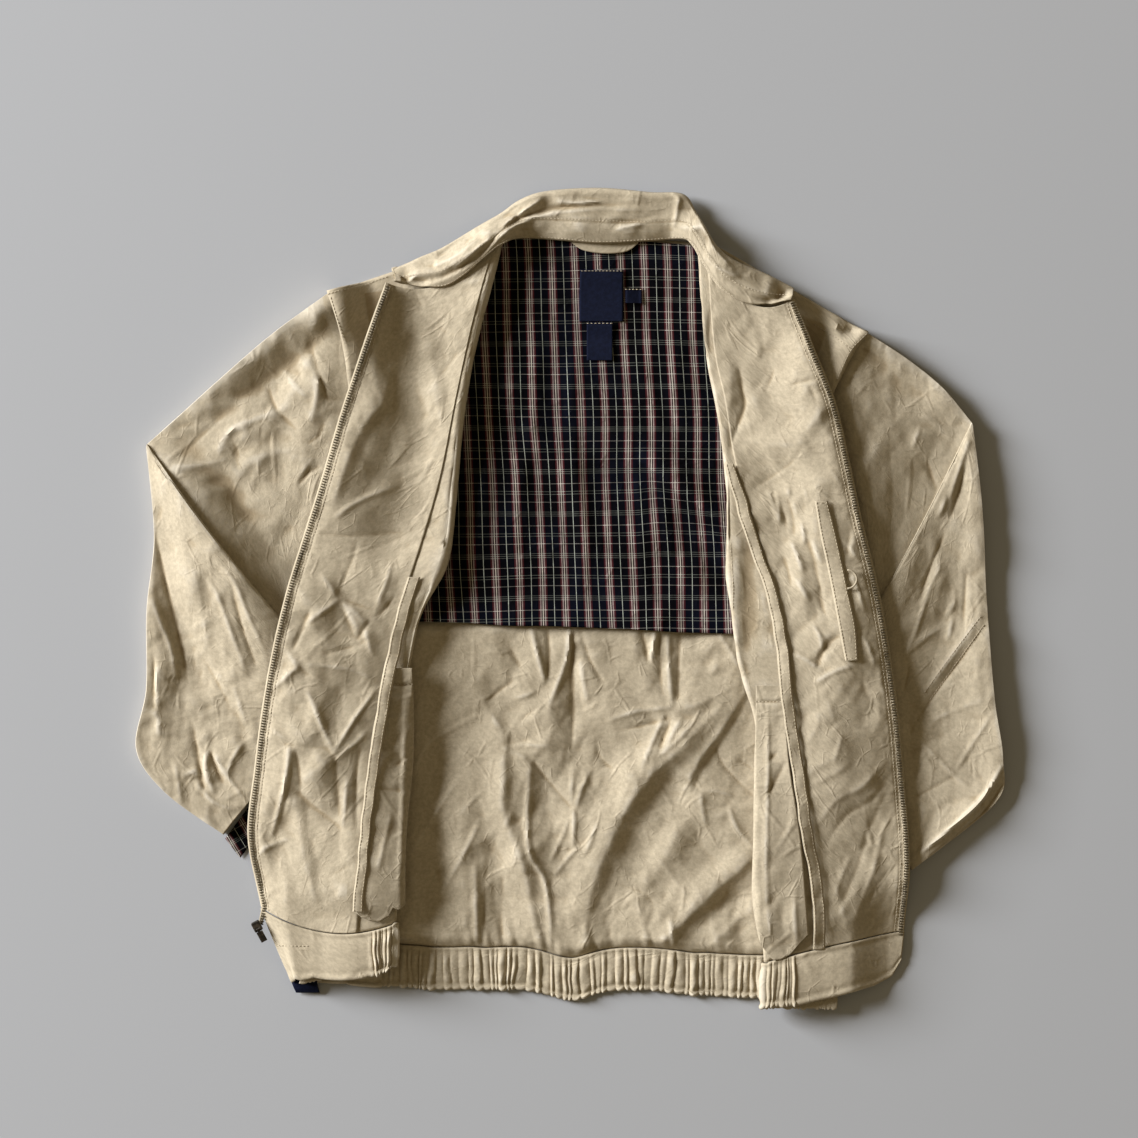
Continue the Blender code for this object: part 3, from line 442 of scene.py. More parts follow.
LEFT_FRONT_CREASES = crease_rows(
    (-3, 10, 0, (135, 274), (130, 250), (132, 222)),
    (-4.5, 7, 0.2, (157, 216), (161, 192), (163, 178), (156, 158), (148, 136)),
    (4, 12, 0.2, (148, 222), (150, 190), (144, 150)),
    (-2, 6, 0, (191, 214), (187, 202), (181, 190)),
    (-2.5, 6, 0, (203, 197), (216, 200), (232, 203)),
    (-2, 5, 0, (221, 197), (226, 188), (229, 178)),
    (4.5, 14, 0.3, (212, 142), (224, 162), (241, 182)),
    (-4.5, 18, 0, (182, 194), (212, 156), (244, 116)),
    (-2, 6, 0, (170, 101), (204, 124), (217, 142)),
    (3, 12, 0.3, (176, 150), (190, 128), (206, 108)),
    (2.5, 6, 0.3, (192, 101), (194, 86), (195, 66)),
    (-2.5, 6, 0, (204, 98), (207, 80), (209, 56)),
    (2.5, 6, 0.3, (216, 108), (218, 98), (221, 88)),
    (2.5, 6, 0.3, (239, 121), (246, 112), (252, 103)),
    (-2.5, 6, 0, (263, 77), (259, 58), (256, 38)),
    (3.5, 12, 0.2, (205, 60), (214, 20), (222, -30)),
    (-3, 9, 0, (222, 58), (230, 20), (238, -20)),
    (-4.5, 9, 0, (252, -33), (238, -43), (227, -68)),
    (4, 10, 0.3, (226, -78), (242, -68), (265, -60)),
    (2, 8, 0.3, (217, -93), (230, -108), (226, -124), (216, -137)),
    (2, 7, 0.3, (234, -82), (240, -98), (246, -117)),
    (-2, 7, 0, (238, -124), (245, -116), (253, -109)),
    (2.6, 6, 0.3, (253, -122), (249, -136), (244, -152)),
    (2.3, 9, 0.3, (220, -172), (238, -165), (262, -150)),
    (-3.2, 9, 0.2, (304, -153), (281, -185), (256, -200), (234, -234)),
    (3.2, 11, 0.3, (300, -142), (272, -172), (246, -186), (226, -214)),
    (-2.6, 9, 0, (300, -164), (284, -200), (276, -216), (268, -246), (244, -298)),
    (2.6, 10, 0.3, (304, -190), (290, -215), (282, -250), (262, -300)),
    (-2.3, 9, 0, (312, -238), (290, -260), (274, -288)),
    (2.6, 9, 0.3, (262, -236), (252, -256), (244, -280)),
    (-2, 7, 0, (271, -68), (276, -90), (302, -112)),
    (2.3, 10, 0.3, (286, -62), (290, -84), (306, -100)),
    (2, 12, 0.3, (262, -90), (268, -120), (292, -140)),
    (2, 10, 0.2, (240, -236), (246, -262), (262, -320)),
    (3, 5, 0.3, (184, 101), (189, 88), (193, 71)),
    (3, 5, 0.3, (202, 106), (205, 92), (210, 77)),
    (-2.5, 5, 0, (196, 84), (200, 74), (202, 62)),
    (3, 5, 0.3, (214, 72), (217, 60), (217, 48)),
    (3, 6, 0.3, (221, 60), (227, 46), (234, 32)),
    (3.5, 6, 0.3, (204, 54), (211, 40), (217, 23)),
    (-3, 5, 0, (198, 40), (203, 26), (206, 10)),
    (3.5, 6, 0.3, (208, 20), (216, 8), (223, -3)),
    (3, 6, 0.3, (194, -14), (200, -26), (206, -34)),
    (3.5, 7, 0.3, (205, -50), (220, -57), (236, -68)),
    (3, 6, 0.3, (223, -20), (231, -34), (236, -52)),
    (-3, 5, 0, (229, 8), (233, -4), (237, -16)),
    (3, 5, 0.3, (260, 84), (266, 74), (268, 60)),
    (3, 5, 0.3, (253, 54), (261, 44), (268, 34)),
    (3.5, 6, 0.3, (260, 24), (266, 8), (273, -12)),
    (3.5, 6, 0.3, (269, -33), (277, -46), (282, -64)),
    (-4, 8, 0, (163, 76), (166, 40), (164, 0), (163, -60), (170, -78)),
    (3.5, 10, 0.3, (156, 60), (156, 10), (158, -40)),
    (2.5, 7, 0.2, (176, 30), (180, -10), (182, -50)),
)
RIGHT_SLEEVE_CREASES = crease_rows(
    (-4.5, 22, 0, (-236, 250), (-262, 218), (-310, 182), (-352, 152)),
    (4, 18, 0.2, (-230, 240), (-262, 180), (-300, 150), (-336, 132)),
    (3.5, 9, 0.5, (-369, 119), (-340, 124), (-313, 131)),
    (3.5, 12, 0.4, (-312, 100), (-298, 124), (-268, 136), (-238, 126)),
    (-4, 13, 0, (-340, 104), (-316, 110), (-300, 80), (-260, 76)),
    (-2, 6, 0, (-361, 129), (-340, 152), (-316, 174)),
    (4, 9, 0.4, (-326, 128), (-316, 152), (-294, 164), (-268, 175)),
    (-2.5, 6, 0, (-311, 149), (-307, 132), (-305, 116)),
    (2, 6, 0.2, (-297, 95), (-290, 114), (-282, 136)),
    (-3, 7, 0, (-279, 197), (-270, 175), (-248, 153)),
    (2.5, 7, 0.3, (-266, 214), (-254, 198), (-240, 184)),
    (4, 6, 0.2, (-231, 208), (-233, 188), (-239, 163)),
    (-3, 7, 0, (-225, 167), (-232, 150), (-247, 142)),
    (-2.4, 8, 0, (-252, 106), (-240, 118), (-226, 124)),
    (1.8, 6, 0.2, (-255, 102), (-246, 118), (-236, 131)),
    (3.5, 12, 0.3, (-252, 226), (-238, 250), (-226, 272)),
    (-3.5, 10, 0, (-240, 240), (-232, 210), (-222, 180)),
    (-4, 16, 0, (-236, 100), (-262, 60), (-290, 26)),
    (-4, 9, 0, (-384, 64), (-377, 30), (-370, 0), (-360, -44), (-352, -84)),
    (3.5, 9, 0.5, (-341, 28), (-325, 6), (-312, -30), (-296, -72)),
    (3, 8, 0.4, (-325, 38), (-308, 16), (-296, -14), (-280, -50)),
    (-3, 8, 0, (-310, 10), (-300, -30), (-288, -64)),
    (3.5, 12, 0.4, (-362, 60), (-344, 20), (-336, -30), (-330, -70)),
    (-3, 9, 0, (-340, -52), (-326, -76), (-314, -98)),
    (-3, 9, 0.3, (-351, -106), (-343, -150), (-337, -186)),
    (4, 8, 0.3, (-387, 2), (-378, -22), (-368, -48), (-364, -76)),
    (4, 9, 0.4, (-381, -60), (-383, -96), (-379, -130)),
    (-3, 6, 0, (-385, -50), (-384, -84), (-381, -120)),
    (3, 7, 0.4, (-366, -150), (-362, -168), (-360, -192)),
    (4, 7, 0.4, (-335, -140), (-336, -160), (-328, -182)),
    (-3.5, 8, 0, (-332, -140), (-326, -158), (-320, -172)),
    (3, 5, 0.3, (-330, -142), (-318, -162), (-296, -192)),
    (4, 9, 0.3, (-362, -168), (-348, -160), (-340, -166)),
    (-4, 14, 0, (-334, -196), (-320, -200), (-304, -204)),
    (3, 7, 0.3, (-346, -168), (-330, -188), (-302, -198)),
    (-3.5, 14, 0, (-326, -96), (-310, -106), (-296, -130)),
    (3, 10, 0.2, (-310, -80), (-304, -100), (-298, -118)),
    (3.5, 9, 0.2, (-300, -132), (-312, -150), (-318, -170)),
)
LEFT_SLEEVE_CREASES = crease_rows(
    (-4, 18, 0, (276, 226), (306, 204), (336, 184)),
    (-2.5, 7, 0, (232, 256), (262, 238), (300, 214)),
    (2.5, 7, 0.2, (326, 172), (340, 162), (358, 146)),
    (-2.5, 7, 0, (356, 160), (364, 163), (373, 162)),
    (-2.5, 8, 0, (332, 130), (337, 112), (342, 98)),
    (2.5, 7, 0.2, (318, 138), (322, 150), (326, 160)),
    (3.5, 9, 0.3, (372, 150), (364, 128), (352, 90)),
    (-3, 7, 0, (368, 124), (362, 100), (352, 70)),
    (3, 7, 0.3, (350, 96), (346, 84), (342, 76)),
    (2.5, 7, 0.3, (345, 34), (332, 2), (320, -34), (310, -54)),
    (-3, 7, 0, (350, 64), (336, 30), (324, -4)),
    (3, 5, 0.2, (359, 0), (355, -8), (350, -18)),
    (3, 5, 0.2, (355, -15), (354, -28), (351, -40)),
    (-3, 7, 0, (369, 28), (368, 2), (366, -24)),
    (2.5, 8, 0.3, (308, -54), (330, -36), (352, -22)),
    (-3, 7, 0, (316, -60), (314, -74), (311, -88)),
    (-3, 5, 0.2, (389, -22), (362, -58), (336, -94), (316, -128)),
    (3, 9, 0.2, (383, -14), (356, -52), (330, -88)),
    (-1.4, 5, 0, (397, -58), (376, -68), (354, -78)),
    (1.6, 6, 0.2, (397, -88), (344, -110), (334, -124)),
    (2.5, 7, 0.2, (320, -126), (340, -146), (358, -164), (384, -190)),
    (2.5, 6, 0.3, (396, -102), (376, -132), (357, -164)),
    (-2, 6, 0, (316, -186), (334, -178), (357, -165)),
    (7, 7, 0.1, (404, -152), (384, -184), (356, -211), (324, -238)),
    (-6, 7, 0, (411, -160), (390, -194), (362, -219), (330, -246)),
    (-4, 14, 0, (296, 150), (300, 90), (294, 30)),
    (3.5, 12, 0.2, (336, 60), (344, 20), (338, -20)),
    (-3, 12, 0, (322, -90), (318, -130), (320, -170)),
    (3, 12, 0.2, (332, -190), (326, -214), (312, -236)),
)
POCKET_CREASES = crease_rows(
    (-2.2, 7, 0, (-162, -156), (-154, -150), (-146, -144)),
    (-2.5, 7, 0, (-184, -171), (-166, -176), (-146, -178)),
    (2.5, 8, 0.3, (-163, -198), (-170, -225), (-176, -252)),
    (3, 10, 0.3, (-150, -90), (-152, -150), (-156, -270)),
    (2.5, 8, 0.3, (-176, -80), (-170, -110), (-176, -140)),
    (-2.5, 8, 0, (-186, -250), (-172, -262), (-158, -268)),
    (3, 7, 0.3, (184, -90), (184, -160), (182, -250), (186, -320)),
    (-3, 8, 0, (202, -148), (192, -166), (180, -184)),
    (-2, 5, 0, (184, -149), (189, -145), (194, -141)),
    (3, 6, 0.3, (188, -238), (204, -212), (208, -204), (204, -188)),
    (-3, 8, 0, (183, -282), (204, -262), (223, -244)),
    (-3, 7, 0, (200, -268), (197, -298), (203, -332)),
    (3, 8, 0.3, (210, -262), (208, -290), (212, -326)),
)
COLLAR_CREASES = crease_rows(
    (3, 7, 0.3, (-119, 291), (-85, 309), (-63, 333), (-44, 347), (-25, 354), (-2, 358), (32, 360),
     (70, 359)),
    (-2.5, 4, 0, (-119, 296), (-85, 314), (-63, 338), (-44, 352), (-25, 359), (-2, 363), (32, 365),
     (104, 364)),
    (3, 8, 0.3, (-130, 304), (-104, 316), (-84, 332)),
    (-3, 7, 0, (-60, 342), (-50, 350), (-42, 362)),
    (3, 8, 0.2, (96, 340), (100, 356), (103, 374)),
    (-3, 7, 0, (112, 340), (116, 352), (122, 350)),
    (3, 8, 0.2, (124, 316), (140, 304), (160, 296)),
    (-4, 6, 0, (-122, 314), (-106, 328), (-86, 340)),
    (4, 6, 0.3, (-106, 302), (-88, 318), (-70, 334)),
    (-4, 6, 0, (-80, 338), (-62, 352), (-44, 366)),
    (4, 6, 0.3, (-60, 344), (-42, 358), (-22, 371)),
    (-3, 5, 0, (-98, 326), (-82, 342), (-66, 352)),
    (-4, 5, 0, (6, 376), (26, 370), (58, 373)),
    (3.5, 5, 0.3, (-14, 368), (8, 365), (30, 368)),
    (-4, 5, 0, (62, 376), (86, 370), (100, 374)),
    (4, 5, 0.3, (94, 379), (99, 374), (105, 367)),
    (-3, 4, 0, (38, 348), (60, 350), (80, 353)),
    (3, 4, 0.3, (42, 341), (56, 344), (70, 347)),
    (-5, 6, 0, (124, 340), (144, 316), (168, 300)),
    (4, 6, 0.3, (120, 350), (134, 326), (150, 308)),
    (-3, 5, 0, (-150, 300), (-134, 308), (-118, 304)),
)

# Broad swells: where the crest runs, how high it stands and how far it falls to the left and right
Swell = namedtuple("Swell", "y x height left right")
RIGHT_FRONT_SWELL = [
    Swell(300, -182, 4, 30, 50),
    Swell(240, -192, 6, 36, 50),
    Swell(170, -208, 8, 34, 62),
    Swell(100, -218, 7, 36, 64),
    Swell(30, -218, 3.4, 46, 66),
    Swell(-50, -212, 4, 66, 60),
    Swell(-150, -206, 7.6, 84, 50),
    Swell(-280, -208, 9, 80, 50),
]
RIGHT_FOLD_SWELL = [
    Swell(260, -76, 3, 40, 24),
    Swell(190, -90, 5, 44, 24),
    Swell(110, -100, 6, 40, 24),
    Swell(50, -110, 5, 40, 24),
    Swell(0, -130, 1, 30, 24),
    Swell(-60, -140, 0, 30, 24),
]
RIGHT_ELBOW_SWELL = [
    Swell(150, -392, 0, 20, 40),
    Swell(120, -366, 7, 30, 36),
    Swell(90, -348, 12, 40, 44),
    Swell(60, -328, 13.5, 50, 48),
    Swell(28, -310, 12, 54, 42),
    Swell(-5, -292, 7, 54, 32),
    Swell(-60, -280, 3, 60, 30),
    Swell(-110, -280, 0, 60, 30),
]
RIGHT_FOREARM_DIP = [
    Swell(70, -381, 0, 12, 16),
    Swell(40, -376, -3, 12, 20),
    Swell(0, -369, -4.2, 18, 26),
    Swell(-50, -358, -4.2, 24, 32),
    Swell(-100, -349, -3, 28, 34),
    Swell(-150, -340, 0, 30, 34),
]
LEFT_SLEEVE_SWELL = [
    Swell(270, 240, 5, 30, 80),
    Swell(200, 258, 7, 30, 100),
    Swell(120, 272, 8, 30, 90),
    Swell(50, 284, 8, 30, 70),
    Swell(-20, 290, 3, 30, 60),
    Swell(-80, 290, 0, 30, 60),
]
LEFT_FRONT_SWELL = [
    Swell(300, 206, 4, 60, 30),
    Swell(200, 240, 2, 96, 30),
    Swell(100, 256, 2.6, 100, 34),
    Swell(40, 258, 4.2, 96, 40),
    Swell(-20, 246, 6, 84, 54),
    Swell(-80, 222, 8, 62, 84),
    Swell(-160, 208, 8, 50, 104),
    Swell(-320, 206, 8, 46, 104),
]

# Broad forms under the creases of the sleeves and the back, in the same columns as the creases
RIGHT_SLEEVE_FORM = crease_rows(
    (5, 31, 0, (-214, 240), (-232, 180), (-252, 110)),
    (4.3, 27, 0, (-300, 190), (-300, 150), (-276, 110)),
    (5.6, 29, 0, (-392, 120), (-376, 60), (-350, 10), (-322, -40), (-306, -110)),
    (4.3, 18, 0, (-404, -20), (-408, -80), (-408, -140), (-370, -190)),
)
LEFT_SLEEVE_FORM = crease_rows(
    (6.8, 43, 0, (236, 262), (262, 180), (276, 120), (288, 60)),
    (-3.7, 25, 0, (350, 170), (330, 120), (304, 60), (286, 10)),
    (5.6, 27, 0, (376, 150), (372, 60), (374, -30), (384, -110)),
    (5, 18, 0, (402, -40), (408, -100), (412, -160)),
    (-3.1, 29, 0, (336, -60), (334, -120), (330, -180)),
)
BACK_FORM = crease_rows(
    (4, 22, 0, (98, -110), (70, -160), (40, -210), (10, -270), (-4, -330)),
    (-2.2, 20, 0, (140, -110), (108, -170), (78, -230), (52, -290), (38, -340)),
    (3.5, 20, 0, (-62, -140), (-56, -200), (-38, -260), (-24, -330)),
    (-4.3, 18, 0, (-30, -160), (-14, -210), (0, -262)),
    (-3.7, 16, 0, (-72, -220), (-66, -280), (-62, -330)),
    (4.3, 20, 0, (-100, -190), (-98, -250), (-92, -320)),
    (4.3, 20, 0, (170, -230), (130, -268), (96, -306), (76, -336)),
    (-4.3, 18, 0, (176, -270), (146, -300), (118, -332)),
    (-3.7, 16, 0, (2, -40), (4, -90), (8, -130)),
)

# The elbow: rows of the upper cloth as it turns under the forearm's fold and comes back over. `past` is how
# far it has gone under the fold, `step` how far the layer below has gone on, and `lift` its height over the
# upper arm.
Tuck = namedtuple("Tuck", "past step lift")
ELBOW_TUCK = [
    Tuck(0.30, 0.10, 0.0),
    Tuck(0.65, 0.20, 0.0),
    Tuck(0.97, 0.30, 0.0),
    Tuck(1.00, 0.35, 0.35),
    Tuck(0.97, 0.40, 0.7),
    Tuck(0.65, 0.50, 0.75),
    Tuck(0.30, 0.60, 0.8),
    Tuck(0.10, 0.70, 1.1),
    Tuck(0.0, 0.76, 2.4),
    Tuck(-0.04, 0.82, 4.2),
    Tuck(-0.02, 0.88, 5.8),
    Tuck(0.10, 0.94, 6.7),
]
ELBOW_LIFT = 7.0  # height of the forearm over the upper arm at the elbow
TUCKED = 13.0  # how much further than its solid the top of a forearm reaches under the front

# How far the top of a sleeve reaches over the back at its armhole, from the shoulder (0) to the underarm (1)
ArmholeBow = namedtuple("ArmholeBow", "place aside")
RIGHT_ARMHOLE = [
    ArmholeBow(0, 4),
    ArmholeBow(0.2, 26),
    ArmholeBow(0.5, 49),
    ArmholeBow(0.77, 46),
    ArmholeBow(1, 38),
]
LEFT_ARMHOLE = [
    ArmholeBow(0, 4),
    ArmholeBow(0.16, 29),
    ArmholeBow(0.36, 48),
    ArmholeBow(0.65, 40),
    ArmholeBow(1, 28),
]
RAISED_EDGE = 36.0  # width of the strip that rises to the edge of a sleeve
SLEEVE_CLEAR = 272.0  # nearer to the middle than this, a sleeve lies on the lining

# Sleeves as a whole: the side that they lie on, the layer of their crumples, how far the strip along their
# outline is raised at the shoulder and below the elbow, and how high the forearm laps over the upper arm
Arm = namedtuple("Arm", "upper forearm away creases layer armhole raised swells lap")
RIGHT_ARM = Arm(
    upper=RIGHT_UPPER_ARM,
    forearm=RIGHT_FOREARM,
    away=-1,
    creases=RIGHT_SLEEVE_FORM + RIGHT_SLEEVE_CREASES,
    layer=3,
    armhole=RIGHT_ARMHOLE,
    raised=(12.0, 0.0),
    swells=[RIGHT_ELBOW_SWELL, RIGHT_FOREARM_DIP],
    lap=1.45,
)
LEFT_ARM = Arm(
    upper=LEFT_UPPER_ARM,
    forearm=LEFT_FOREARM,
    away=1,
    creases=LEFT_SLEEVE_FORM + LEFT_SLEEVE_CREASES,
    layer=4,
    armhole=LEFT_ARMHOLE,
    raised=(4.0, 4.0),
    swells=[LEFT_SLEEVE_SWELL],
    lap=0.5,
)

# The section of a waistband: how far down, from its seam (0) to its fold (1), how far out, and how far
# pleats lift it
Section = namedtuple("Section", "down out pleated")
BAND_SECTION = [
    Section(0.010, 0.30, 0.10),
    Section(0.015, 0.85, 0.20),
    Section(0.05, 1.00, 0.45),
    Section(0.10, 0.86, 0.55),
    Section(0.15, 0.90, 0.80),
    Section(0.22, 1.06, 1.15),
    Section(0.35, 1.16, 1.20),
    Section(0.50, 1.16, 1.10),
    Section(0.65, 1.14, 1.15),
    Section(0.76, 1.08, 1.15),
    Section(0.83, 0.90, 0.80),
    Section(0.88, 0.88, 0.65),
    Section(0.93, 1.02, 1.05),
    Section(0.975, 0.92, 0.85),
    Section(1.00, 0.50, 0.30),
    Section(0.975, 0.12, 0.0),
    Section(0.90, 0.04, 0.0),
    Section(0.60, 0.03, 0.0),
    Section(0.30, 0.03, 0.0),
    Section(0.03, 0.05, 0.0),
]

# Stripes of the plaid: place from the middle of the repeat, half width, how much each covers, and its colour
Stripe = namedtuple("Stripe", "place half cover color")
PLAID_REPEAT = 21.4  # from one warp band to the next
PLAID_RISE = 39.5  # from one weft band to the next
STRIPE_EDGE = 0.12  # half the width over which a stripe fades out
PINK, TAN, RED, WHITE, MINT = "plaid_pink", "plaid_tan", "plaid_red", "plaid_white", "plaid_mint"
WARP_STRIPES = [
    Stripe(-3.5, 0.75, 0.55, RED),
    Stripe(3.5, 0.75, 0.55, RED),
    Stripe(-2.1, 0.70, 0.62, PINK),
    Stripe(2.1, 0.70, 0.62, PINK),
    Stripe(0.0, 0.66, 0.55, TAN),
    Stripe(0.0, 0.26, 0.85, WHITE),
    Stripe(-2.1, 0.16, 0.45, WHITE),
    Stripe(2.1, 0.16, 0.45, WHITE),
    Stripe(10.7, 0.26, 0.74, MINT),
    Stripe(-10.7, 0.26, 0.74, MINT),
]
WEFT_STRIPES = [
    Stripe(0.0, 0.20, 0.34, MINT),
    Stripe(-1.9, 0.20, 0.30, MINT),
    Stripe(1.9, 0.20, 0.30, MINT),
    Stripe(-11.2, 0.22, 0.40, WHITE),
    Stripe(11.2, 0.22, 0.40, WHITE),
    Stripe(-18.5, 0.20, 0.34, MINT),
    Stripe(18.5, 0.20, 0.34, MINT),
]

# What a run of teeth or stitches is given, in metres
RunSocket = namedtuple("RunSocket", "label kind value")
RUN_SOCKETS = [
    RunSocket("Path", "Geometry", None),
    RunSocket("Pitch", "Float", 0.0032),
    RunSocket("Length", "Float", 0.0022),
    RunSocket("Width", "Float", 0.0005),
    RunSocket("Height", "Float", 0.0004),
    RunSocket("Across", "Bool", False),
    RunSocket("Jitter", "Float", 0.1),
    RunSocket("Seed", "Int", 3),
    RunSocket("Finish", "Material", None),
]

SPREAD = 1.25  # how much further than its steep part the skirt of a crease reaches

# The facets that slack, washed cotton falls into: length, width, which way they lie, how high they stand
Facet = namedtuple("Facet", "length width turn height")
FACETS = [
    Facet(104, 54, 62, 2.4),
    Facet(66, 36, 118, 1.8),
    Facet(46, 25, 24, 1.1),
    Facet(31, 16, 84, 0.75),
    Facet(20, 11, 148, 0.55),
    Facet(12, 7, 37, 0.34),
]

# Cut sizes of the pieces that show, before sewing, and the share of that rectangle that the cut fills
Cut = namedtuple("Cut", "width length share held rests_on")


def between(first, second, share):
    """From the first value, at a share of 0, to the second, at a share of 1."""
    return first * (1 - share) + second * share


def eased(share):
    """0 up to 0 and 1 from 1 on, with a soft start and end."""
    share = np.clip(share, 0, 1)
    return share * share * (3 - 2 * share)


def bell(value, middle, width):
    """1 at the middle, falling off softly to both sides."""
    return np.exp(-(((value - middle) / width) ** 2))


def spots(x, y, z):
    """A grid of points."""
    return np.stack([x, y, z], axis=-1)


def smooth_rows(table, count):
    """`count` rows read from a smooth curve through the rows of a table."""
    rows = np.array(table, float)
    last = len(rows) - 1
    at = np.linspace(0, last, count)
    index = np.minimum(at.astype(int), last - 1)
    t = (at - index)[:, None]
    before, here, there, after = (rows[np.clip(index + step, 0, last)] for step in (-1, 0, 1, 2))
    cubic = (3 * here - before - 3 * there + after) * t**3
    square = (2 * before - 5 * here + 4 * there - after) * t**2
    return 0.5 * (2 * here + (there - before) * t + square + cubic)


def straight_rows(table, places):
    """Rows read at `places`, counted in rows, along the straight lines between the rows of a table."""
    rows = np.array(table, float)
    return np.array([np.interp(places, range(len(rows)), column) for column in rows.T]).T


def refined(grid, times):
    """A grid of points with `times` steps for each step of a coarser one."""
    for axis in (0, 1):
        count = grid.shape[axis]
        at = np.linspace(0, count - 1, (count - 1) * times + 1)
        index = np.minimum(at.astype(int), count - 2)
        share = (at - index).reshape((-1, 1, 1) if axis == 0 else (1, -1, 1))
        grid = between(np.take(grid, index, axis), np.take(grid, index + 1, axis), share)
    return grid


def softened(field):
    """A field of heights blurred by one cell along both of its axes."""
    for axis in (0, 1):
        field = (np.roll(field, 1, axis) + 2 * field + np.roll(field, -1, axis)) / 4
    return field


HALF = 460.0  # the grids of heights reach this far from the middle of the floor


def read_grid(field, x, y):
    """A value between the cells of a square grid that covers the floor."""
    cell = 2 * HALF / len(field)
    column = (np.asarray(x) + HALF) / cell - 0.5
    row = (np.asarray(y) + HALF) / cell - 0.5
    c, r = column.astype(int), row.astype(int)
    low = between(field[r, c], field[r, c + 1], column - c)
    high = between(field[r + 1, c], field[r + 1, c + 1], column - c)
    return between(low, high, row - r)


class Ground:
    """The upper surface of all that has been laid so far, as heights on a square grid over the floor."""

    CELL = 2.0

    def __init__(self):
        count = int(2 * HALF / self.CELL)
        self.top = np.zeros((count, count))

    def lay(self, grid, times=3):
        """Takes in the upper surface of a piece."""
        points = refined(grid, times).reshape(-1, 3)
        column, row = ((points[:, :2] + HALF) / self.CELL).astype(int).T
        np.maximum.at(self.top, (row, column), points[:, 2])

    def under(self, x, y, reach, soften):
        """The height that a piece rests on at a point: the highest place within `reach`, then softened."""
        wide = int(math.ceil((reach + soften) / self.CELL))
        soft = int(math.ceil(soften / self.CELL))
        field = self.top
        for axis in (0, 1):
            field = np.max([np.roll(field, step, axis) for step in range(-wide, wide + 1)], axis=0)
        for axis in (0, 1):
            field = np.mean([np.roll(field, step, axis) for step in range(-soft, soft + 1)], axis=0)
        return read_grid(field, x, y)

    def surface(self, x, y):
        """The height of the topmost cloth at a point."""
        return read_grid(self.top, x, y)


laid = Ground()
edges = {}  # grids that later pieces are sewn to, by the name of the piece

CHANCE_SIZE = 128
CHANCE = np.random.default_rng(7).uniform(-1, 1, (CHANCE_SIZE, CHANCE_SIZE))
LUMP_STEP = (13.7, 29.3)  # how far apart the lumps of two layers are read, in cells
FACET_STEP = (11.9, 23.1)  # the same for facets
LUMP_START = 60  # keeps each place that is read above nothing
FACET_START = 70
FACET_WANDER = 0.22  # how far the edges of facets wander, in lengths of a facet


def chance_at(column, row):
    return CHANCE[column % CHANCE_SIZE, row % CHANCE_SIZE]


def lumps(x, y, size, layer):
    """Smooth hills and hollows between -1 and 1, `size` across. Each layer has its own."""
    u = x / size + LUMP_STEP[0] * layer + LUMP_START
    v = y / size + LUMP_STEP[1] * layer + LUMP_START
    i, j = np.floor(u).astype(int), np.floor(v).astype(int)
    low = between(chance_at(i, j), chance_at(i + 1, j), eased(u - i))
    high = between(chance_at(i, j + 1), chance_at(i + 1, j + 1), eased(u - i))
    return between(low, high, eased(v - j))


def faceted(x, y, facet, layer):
    """Flat triangles between random heights, with sharp edges that wander a little."""
    turn = math.radians(facet.turn + 9 * layer)
    bend_x = x + FACET_WANDER * facet.length * lumps(x, y, 1.1 * facet.length, layer + 31)
    bend_y = y + FACET_WANDER * facet.length * lumps(x, y, 1.1 * facet.length, layer + 47)
    across, along = FACET_STEP[1] * layer, FACET_STEP[0] * layer
    v = (bend_y * math.cos(turn) - bend_x * math.sin(turn)) / facet.width + across + FACET_START
    u = (bend_x * math.cos(turn) + bend_y * math.sin(turn)) / facet.length + 0.5 * v + along + FACET_START
    i, j = np.floor(u).astype(int), np.floor(v).astype(int)
    a, b = u - i, v - j
    right, up = chance_at(i + 1, j), chance_at(i, j + 1)
    near = chance_at(i, j) * (1 - a - b) + right * a + up * b
    far = chance_at(i + 1, j + 1) * (a + b - 1) + up * (1 - a) + right * (1 - b)
    return np.where(a + b < 1, near, far)


def crumple(x, y, layer):
    """The height of slack cotton: flat facets that meet in creases, finer ones in patches."""
    height = 0.12 * lumps(x, y, 9, layer + 3)
    for number, facet in enumerate(FACETS):
        patch = np.clip(0.62 + 1.1 * lumps(x, y, 60, layer + 20 + number), 0.12, 1)
        height = height + facet.height * patch * faceted(x, y, facet, layer + number)
    return height


NET_CELL = 1.25
ROUNDED = 12  # creases that reach further than this are rolls of cloth, and the others are pressed sharp
CREASE_STEP = 8.0  # room between the points along a crease
CREASE_IN_NET = 0.4  # share of a crease's height that its points in the net have
LOOSE_STEP = (17.0, 25.0)  # room between the loose points of the net, across and along the garment
LOOSE_ASIDE = 0.36  # how far a loose point strays from its place, in steps
LOOSE_ROUGH = 0.95  # how far the loose points stand up or down
NET_MARGIN = 70.0

nets = {}  # heights of each net, by layer


